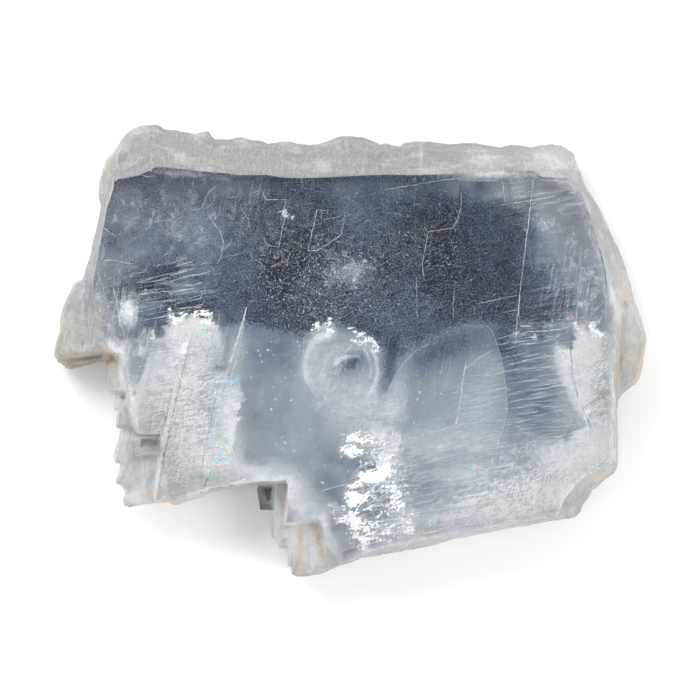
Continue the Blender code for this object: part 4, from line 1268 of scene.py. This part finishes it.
# Cracks near the upper face: line, half width in steps, brightness
CRACKS = [
    ([(262, 191), (266, 200), (286, 200), (284, 210), (285, 218), (282, 232), (279, 247),
      (271, 246), (266, 244), (263, 235)], 0.38, 0.6),
    ([(279, 248), (290, 252), (288, 260), (275, 265), (269, 270)], 0.35, 0.45),
    ([(333, 211), (317, 210), (313, 228), (308, 251), (316, 251), (330, 243), (341, 235),
      (344, 221), (345, 209)], 0.38, 0.65),
    ([(322, 211), (321, 220), (335, 218), (343, 215)], 0.35, 0.5),
    ([(190, 211), (202, 209), (207, 195), (213, 188), (222, 184)], 0.38, 0.6),
    ([(202, 220), (205, 210), (212, 204), (218, 194)], 0.35, 0.5),
    ([(226, 198), (238, 197), (243, 190)], 0.35, 0.5),
    ([(207, 213), (215, 225), (221, 233), (224, 242), (221, 258), (217, 265)], 0.4, 0.6),
    ([(225, 257), (240, 254), (250, 252), (253, 260), (260, 262), (265, 270)], 0.35, 0.5),
    ([(250, 197), (255, 192), (260, 191)], 0.35, 0.45),
    ([(195, 177), (193, 186), (196, 194), (195, 203)], 0.32, 0.3),
    ([(240, 205), (243, 212), (248, 219), (250, 230)], 0.32, 0.32),
    ([(230, 226), (237, 215), (234, 203)], 0.32, 0.35),
    ([(140, 175), (147, 177), (155, 176.5)], 0.5, 0.7),
    ([(165, 186), (164, 200)], 0.3, 0.3),
    ([(500, 313), (518, 310)], 0.38, 0.6),
    ([(155, 205), (152, 222), (175, 220)], 0.35, 0.45),
    ([(385, 190), (415, 185), (440, 181), (455, 179), (475, 181), (502, 181), (503, 187),
      (505, 205)], 0.38, 0.6),
    ([(497, 206), (530, 201), (557, 196)], 0.38, 0.6),
    ([(461, 190), (461, 205), (458, 218), (453, 228), (441, 230), (428, 232), (425, 248),
      (422, 265), (424, 280)], 0.38, 0.65),
    ([(416, 275), (417, 300), (417, 320)], 0.35, 0.45),
    ([(455, 285), (453, 305), (453, 320)], 0.35, 0.45),
    ([(475, 304), (495, 300), (518, 295)], 0.38, 0.55),
    ([(533, 178), (530, 205), (526, 235), (524, 255), (521, 280), (518, 305),
      (515, 345)], 0.4, 0.7),
    ([(247, 307), (240, 345), (232, 375), (222, 400), (208, 450), (205, 480)], 0.42, 0.75),
    ([(97, 223), (107, 230), (118, 238)], 0.4, 0.5),
    ([(581, 240), (579, 280), (575, 325)], 0.4, 0.7),
    ([(466, 361), (463, 378), (461, 395), (458, 415), (455, 425), (440, 430),
      (424, 434)], 0.55, 1.0),
    ([(464, 370), (480, 357), (495, 349)], 0.38, 0.7),
    ([(320, 491), (335, 487), (350, 483)], 0.45, 0.9),
    ([(497, 339), (512, 335), (527, 332), (548, 331), (568, 328)], 0.42, 0.8),
    ([(186, 335), (179, 368), (172, 400), (168, 420), (163, 440), (158, 470),
      (155, 480)], 0.5, 0.8),
    ([(572, 385), (578, 405), (585, 420), (590, 440)], 0.45, 0.8),
    ([(615, 395), (600, 402), (585, 408)], 0.4, 0.7),
    ([(486, 325), (492, 331), (497, 345), (502, 365), (505, 385), (507, 409), (504, 424),
      (499, 438), (491, 449)], 0.45, 0.5),
    ([(386, 396), (391, 384), (398, 371), (407, 359), (417, 350), (430, 343)], 0.4, 0.35),
    ([(247, 307), (242, 325), (236, 346), (229, 366)], 1.0, 0.75),
    ([(229, 366), (221, 392), (216, 408)], 1.0, 0.55),
    ([(226, 398), (217, 425), (212, 450), (206, 474)], 0.9, 0.5),
    ([(189, 332), (182, 362), (175, 392), (169, 420), (164, 446)], 1.5, 0.55),
    ([(166, 432), (161, 458), (157, 482)], 1.1, 0.45),
    ([(193, 334), (187, 360), (180, 390)], 0.4, 0.5),
    ([(121, 352), (128, 372), (131, 396), (135, 415), (139, 430)], 0.6, 0.6),
    ([(113, 285), (117, 300), (120, 318), (126, 340)], 0.6, 0.55),
    ([(100, 262), (112, 260), (126, 263), (136, 264)], 0.7, 0.55),
    ([(97, 268), (104, 290), (109, 310)], 0.6, 0.45),
    ([(152, 326), (148, 338), (146, 350)], 0.8, 0.5),
    ([(430, 492), (455, 487), (480, 478), (492, 470)], 0.4, 0.6),
    ([(440, 506), (462, 503), (484, 496)], 0.5, 0.6),
    ([(455, 478), (452, 500), (450, 520)], 0.5, 0.4),
    ([(468, 455), (490, 449), (520, 443), (548, 440)], 0.35, 0.4),
    ([(503, 350), (522, 344), (540, 343), (560, 336)], 0.35, 0.6),
    ([(506, 366), (520, 362), (534, 361), (538, 364)], 0.45, 0.6),
]
# Dark lines beside the long ridges, and other shadowed creases
SHADOWS = [
    ([(191.5, 336), (184.5, 366), (177, 398), (171, 426), (166, 450)], 0.9, 0.42),
    ([(184, 345), (177, 372), (170, 402), (163, 430), (160, 455)], 0.7, 0.28),
    ([(222, 376), (214, 408), (207, 440), (202, 470)], 0.7, 0.3),
    ([(212, 470), (206, 482), (203, 490)], 0.9, 0.5),
    ([(204, 470), (199, 480)], 0.6, 0.4),
    ([(573, 330), (570, 350), (572, 375), (578, 398)], 0.8, 0.42),
    ([(580, 402), (586, 418), (592, 432)], 1.0, 0.28),
    ([(580, 408), (596, 400), (611, 393)], 0.9, 0.22),
    ([(566, 306), (571, 318), (573, 330)], 0.5, 0.4),
    ([(148, 352), (143, 368), (138, 384)], 2.2, 0.5),
    ([(136, 390), (134, 397)], 2.2, 0.7),
    ([(146, 314), (142, 328)], 2.0, 0.5),
    ([(149, 330), (147, 345)], 1.6, 0.5),
    ([(164, 322), (160, 334)], 1.4, 0.4),
    ([(190, 373), (193, 371), (194, 375), (190, 377)], 0.5, 0.6),
]


def keep_inside(mesh, loop):
    """Drops the corners of a mesh that lie outside a closed line."""
    outside = depth_inside(sheet_steps(mesh), loop) < 0
    solid = bmesh.new()
    solid.from_mesh(mesh)
    dropped = [vert for vert, out in zip(solid.verts, outside) if out]
    bmesh.ops.delete(solid, geom=dropped, context="VERTS")
    solid.to_mesh(mesh)
    solid.free()


def build_lines(name, lines, top, depth, finish):
    """Each line is a narrow wall that leans a little, so it shows from above."""
    chance = random.Random(SEED + 3)
    corners, tiles, glow = [], [], []
    for line, half, shown in lines:
        places = []
        for a, b in zip(line, line[1:]):
            a, b = Vector(a), Vector(b)
            parts = max(1, round((b - a).length / LINE_PART))
            places.extend(a.lerp(b, part / parts) for part in range(parts))
        places.append(Vector(line[-1]))
        for i in range(1, len(places) - 1):
            places[i] = places[i] + Vector([chance.gauss(0, LINE_WAVER) for _ in range(2)])
        start = len(corners)
        last = len(places) - 1
        for i, place in enumerate(places):
            along = places[min(i + 1, last)] - places[max(i - 1, 0)]
            side = Vector((-along.y, along.x)).normalized() * half
            side *= chance.uniform(0.55, 1.2) * min(1.0, 0.3 + 0.3 * min(i, last - i))
            corners.append(on_slab(*(place + side), top))
            corners.append(on_slab(*(place - side), top - depth))
            taper = min(1.0, 0.45 + 0.25 * min(i, last - i))
            glow.extend([min(1.3 * shown, 1.0) * taper] * 2)
        for i in range(last):
            j = start + 2 * i
            tiles.append((j, j + 2, j + 3, j + 1))
    mesh = bpy.data.meshes.new(name)
    mesh.from_pydata(corners, [], tiles)
    paint(mesh, "glow", glow)
    keep_inside(mesh, FACE_LINE)
    mesh.materials.append(finish)
    return add_piece(name, mesh)


# Spots of rainbow colour, as marks
RAINBOWS = [
    (222, 454, 7, 15, 0, 1.5), (205, 333, 7, 5, 0, 0.8), (545, 226, 9, 7, 0, 0.6),
    (475, 467, 6, 3.5, 0, 1.0), (431, 522, 8, 5, 0, 0.8), (130, 222, 10, 6, 0, 0.28),
    (175, 226, 8, 8, 0, 0.3), (500, 195, 6, 4, 0, 0.35), (235, 381, 5, 4, 0, 0.8),
    (570, 317, 4, 3, 0, 0.6), (207, 360, 6, 4, 0, 0.3), (593, 363, 6, 4, 0, 0.3),
]


def build_rainbows():
    """Small sheets, one for each spot of rainbow colour."""
    sheets = []
    for mark in RAINBOWS:
        across, down, *reach = mark[:4]
        wide, tall = (SPOT_REACH * length for length in reach)
        box = [
            (across - wide, down - tall), (across + wide, down - tall),
            (across + wide, down + tall), (across - wide, down + tall),
        ]
        mesh = flat_sheet("spot", box, RAINBOW_HEIGHT, SPOT_SPACING, relief=0.0, reach=0.0)
        sheets.append((mesh, {"glow": blots(sheet_steps(mesh), [mark])}))
    return joined_sheets("rainbow_spots", sheets, rainbow_finish())


def side_cracks():
    """Short cracks that leave the fine ones along the two cleavage directions."""
    chance = random.Random(SEED + 9)
    found = []
    for line, half, shown in CRACKS:
        if half > WIDEST_WITH_SIDE_CRACKS:
            continue
        for a, b in zip(line, line[1:]):
            a, b = Vector(a), Vector(b)
            for _ in range(int((b - a).length / SIDE_CRACK_SPACING + chance.random())):
                start = a.lerp(b, chance.random())
                angle = math.radians(chance.choice(CLEAVAGE_ANGLES) + chance.gauss(0, 7))
                end = start + Vector((math.cos(angle), math.sin(angle))) * chance.uniform(2, 8)
                dimmer = shown * chance.uniform(0.4, 1)
                found.append(([tuple(start), tuple(end)], SIDE_CRACK_WIDTH, dimmer))
    return found


def build_cracks():
    """The white cracks with their side cracks, and the dark creases beside them."""
    cracks = CRACKS + side_cracks()
    return [
        build_lines("fine_cracks", cracks, CRACK_TOP, CRACK_DEPTH, crack_finish()),
        build_lines("dark_creases", SHADOWS, CREASE_TOP, CREASE_DEPTH, crease_finish()),
    ]


MOST_OF_FACE = [
    (110, 185), (560, 185), (600, 300), (600, 450), (440, 530), (330, 540), (290, 478),
    (170, 490), (128, 400), (100, 300),
]
# Fields of fine scratches: outline, how many in a square centimetre, length and width in
# millimetres, angle and its spread in degrees, brightness
SCRATCH_FIELDS = {
    "scratches_dark_left": (
        [(140, 264), (210, 258), (212, 308), (146, 320)], 30, 4.6, 0.12, 12, 7, 0.9),
    "scratches_dark_left_upright": (
        [(150, 280), (215, 275), (212, 322), (150, 330)], 9, 2.6, 0.12, 72, 14, 0.5),
    "scratches_far_left": (
        [(100, 285), (165, 296), (165, 350), (114, 350)], 16, 2.4, 0.12, 74, 26, 0.42),
    "scratches_far_left_level": (
        [(96, 262), (140, 262), (150, 320), (106, 330)], 16, 3.0, 0.12, 6, 10, 0.45),
    "scratches_right": (
        [(500, 334), (562, 330), (586, 424), (560, 446), (503, 452)],
        34, 2.8, 0.12, 9, 6, 0.6),
    "long_scratches_right": (
        [(506, 338), (548, 336), (574, 420), (556, 446), (506, 450)],
        9, 5.5, 0.17, 9, 7, 0.75),
    "scratches_oval": (
        [(462, 370), (500, 365), (506, 410), (498, 440), (460, 430)],
        22, 3.6, 0.11, 11, 9, 0.5),
    "scratches_lower_right": (
        [(410, 470), (560, 450), (555, 512), (425, 535)], 12, 3.6, 0.14, 14, 10, 0.55),
    "scratches_lower_right_upright": (
        [(430, 455), (608, 420), (590, 470), (558, 512), (430, 535)],
        14, 1.8, 0.15, 84, 14, 0.6),
    "scratches_left": (
        [(166, 326), (236, 326), (240, 470), (160, 494)], 3.5, 9.0, 0.14, 79, 6, 0.6),
    "scratches_left_level": (
        [(134, 372), (172, 344), (218, 344), (238, 470), (170, 480), (140, 428)],
        14, 3.4, 0.13, 7, 10, 0.6),
    "scratches_upper_right": (
        [(505, 178), (565, 184), (602, 300), (590, 330), (520, 325)],
        5, 5.0, 0.11, 9, 10, 0.4),
    "scratches_upper_left": (
        [(110, 182), (262, 178), (262, 262), (102, 262)], 9, 1.9, 0.11, 70, 60, 0.32),
    "scratches_bruise": (
        [(335, 395), (392, 392), (392, 428), (335, 430)], 12, 3.4, 0.14, 6, 10, 0.3),
    "specks": (MOST_OF_FACE, 6.5, 0.34, 0.22, 40, 90, 0.62),
    "specks_grey": (
        [(244, 336), (300, 340), (310, 400), (380, 420), (342, 500), (292, 470),
         (248, 452)], 9.0, 0.46, 0.30, 40, 90, 1.1),
    "specks_oval": (
        [(404, 372), (490, 340), (504, 410), (480, 500), (420, 500), (392, 420)],
        7.0, 0.40, 0.26, 40, 90, 1.0),
    "scribbles": (
        [(516, 317), (560, 322), (562, 338), (514, 338)], 85, 1.5, 0.12, 5, 40, 0.75),
    "crumbs_below_dark": (
        [(278, 312), (332, 316), (322, 346), (284, 342)], 60, 0.8, 0.13, 60, 60, 0.5),
    "fringe": (
        [(410, 171), (446, 170), (446, 181), (410, 182)], 130, 0.9, 0.12, 80, 40, 0.8),
    "long_fringe": (
        [(300, 174), (356, 173), (356, 181), (300, 183)], 60, 1.1, 0.12, 80, 40, 0.5),
    "top_fringe": (
        [(450, 168), (535, 168), (535, 182), (450, 182)], 70, 1.8, 0.12, 70, 40, 0.5),
    "hairlines": (MOST_OF_FACE, 0.9, 2.4, 0.10, 60, 60, 0.26),
}


def scratch_tree():
    """Geometry nodes that scatter narrow, leaning strips over a patch."""
    tree = bpy.data.node_groups.new("scatter scratches", "GeometryNodeTree")
    labels = [
        ("Patch", "NodeSocketGeometry"), ("Per Square Metre", "NodeSocketFloat"),
        ("Length", "NodeSocketFloat"), ("Width", "NodeSocketFloat"),
        ("Angle", "NodeSocketFloat"), ("Spread", "NodeSocketFloat"),
        ("Brightness", "NodeSocketFloat"), ("Seed", "NodeSocketInt"),
        ("Finish", "NodeSocketMaterial"),
    ]
    for label, kind in labels:
        tree.interface.new_socket(name=label, in_out="INPUT", socket_type=kind)
    tree.interface.new_socket(
        name="Scratches", in_out="OUTPUT", socket_type="NodeSocketGeometry"
    )
    graph = Graph(tree)
    taken = graph.put("NodeGroupInput").outputs
    given = graph.put("NodeGroupOutput").inputs
    spread_out = graph.put(
        "GeometryNodeDistributePointsOnFaces", Mesh=taken["Patch"],
        Density=taken["Per Square Metre"], Seed=taken["Seed"],
    ).outputs["Points"]

    def chance(low, high, salt):
        node = graph.put("FunctionNodeRandomValue", {"data_type": "FLOAT"})
        graph.feed(node.inputs[2], low)
        graph.feed(node.inputs[3], high)
        seed = graph.sum("ADD", taken["Seed"], float(salt))
        graph.feed(node.inputs["Seed"], seed)
        return node.outputs[1]

    turn = graph.sum("MULTIPLY", taken["Spread"], chance(-1.0, 1.0, 1))
    turn = graph.sum("RADIANS", graph.sum("ADD", taken["Angle"], turn))
    rotation = graph.put("ShaderNodeCombineXYZ", X=chance(-0.7, 0.7, 2), Z=turn).outputs[0]
    length = graph.sum("MULTIPLY", taken["Length"], chance(0.25, 1.6, 3))
    width = graph.sum("MULTIPLY", taken["Width"], chance(0.5, 1.3, 4))
    size = graph.put("ShaderNodeCombineXYZ", X=length, Y=width, Z=1.0).outputs[0]
    strip = graph.put(
        "GeometryNodeMeshGrid", Size_X=1.0, Size_Y=1.0, Vertices_X=4, Vertices_Y=2
    ).outputs["Mesh"]
    placed = graph.put(
        "GeometryNodeInstanceOnPoints", Points=spread_out, Instance=strip,
        Rotation=rotation, Scale=size,
    ).outputs["Instances"]
    glow = graph.sum("MULTIPLY", taken["Brightness"], chance(0.35, 1.25, 5))
    marked = graph.put(
        "GeometryNodeStoreNamedAttribute", {"domain": "INSTANCE", "data_type": "FLOAT"},
        Geometry=placed, Name="glow", Value=glow,
    ).outputs["Geometry"]
    solid = graph.put("GeometryNodeRealizeInstances", Geometry=marked).outputs["Geometry"]
    finished = graph.put(
        "GeometryNodeSetMaterial", Geometry=solid, Material=taken["Finish"]
    ).outputs["Geometry"]
    graph.feed(given["Scratches"], finished)
    return tree


def build_scratches():
    """One piece for each field of scratches, scattered and then made a plain mesh."""
    tree = scratch_tree()
    finish = bpy.data.materials["fine_white_crack"]
    pieces = []
    for number, (name, field) in enumerate(SCRATCH_FIELDS.items()):
        loop, density, length, width, angle, spread, brightness = field
        patch = bpy.data.meshes.new(name + "_patch")
        corners = [on_slab(*point, SCRATCH_HEIGHT) for point in loop]
        patch.from_pydata(corners, [], [list(range(len(loop)))])
        piece = add_piece(name, patch)
        scatter = piece.modifiers.new("scatter", "NODES")
        scatter.node_group = tree
        values = {
            "Per Square Metre": density * PER_SQUARE_CM, "Length": length * MM,
            "Width": width * MM, "Angle": float(angle), "Spread": float(spread),
            "Brightness": brightness, "Seed": SEED + 10 * number, "Finish": finish,
        }
        for item in tree.interface.items_tree:
            if item.name in values:
                scatter[item.identifier] = values[item.name]
        graph = bpy.context.evaluated_depsgraph_get()
        mesh = bpy.data.meshes.new_from_object(piece.evaluated_get(graph))
        piece.modifiers.clear()
        keep_inside(mesh, FACE_LINE)
        mesh.name = name
        piece.data = mesh
        bpy.data.meshes.remove(patch)
        pieces.append(piece)
    return pieces


# ---------------------------------------------------------------- floor, light, camera


def build_floor():
    """A plain pale card, just below the base."""
    mesh = bpy.data.meshes.new("plain_floor")
    half = FLOOR_HALF
    corners = [(-half, -half), (half, -half), (half, half), (-half, half)]
    mesh.from_pydata([(*corner, FLOOR_HEIGHT) for corner in corners], [], [(0, 1, 2, 3)])
    material, graph, shader = new_finish("pale_card", Roughness=0.9)
    speckle = graph.noise(graph.place(), 0.4, 3.0)
    card = graph.mix(speckle, (0.96, 0.96, 0.96), (0.97, 0.97, 0.97))
    graph.feed(shader.inputs["Base Color"], card)
    mesh.materials.append(material)
    add_piece("plain_floor", mesh)


def build_light():
    """A soft sky that is bright round the sides and dim overhead, and two broad lamps."""
    world = bpy.data.worlds.new("soft_studio")
    bpy.context.scene.world = world
    world.use_nodes = True
    sky = Graph(world.node_tree)
    way = sky.put("ShaderNodeTexCoord").outputs["Generated"]
    up = sky.put("ShaderNodeSeparateXYZ", Vector=way).outputs["Z"]
    glow = sky.ramp(up, [(0.60, (1.5, 1.5, 1.5)), (0.92, (0.15, 0.15, 0.16))])
    sky.feed(world.node_tree.nodes["Background"].inputs["Color"], glow)
    for name, place, power in LAMPS:
        lamp = bpy.data.lights.new(name, "AREA")
        lamp.energy, lamp.size = power, LAMP_SIZE
        light = bpy.data.objects.new(name, lamp)
        bpy.context.scene.collection.objects.link(light)
        light.location = place
        light.rotation_euler = (-Vector(place)).to_track_quat("-Z", "Y").to_euler()


def build_camera():
    """A long lens straight above the slab."""
    lens = bpy.data.cameras.new("overhead_camera")
    lens.lens, lens.sensor_width = LENS, SENSOR
    lens.clip_end = 10.0
    camera = bpy.data.objects.new("overhead_camera", lens)
    bpy.context.scene.collection.objects.link(camera)
    camera.location = CAMERA_PLACE
    bpy.context.scene.camera = camera
    bpy.context.scene.view_settings.view_transform = "Standard"


# ---------------------------------------------------------------- the scene

slab = dress_slab(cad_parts["selenite_slab"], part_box("selenite_slab"))
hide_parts("selenite_slab")
for piece in [slab, *build_films(), build_flakes(), build_rainbows(), *build_cracks(),
              *build_scratches()]:
    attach(piece, "root")
build_floor()
build_light()
build_camera()
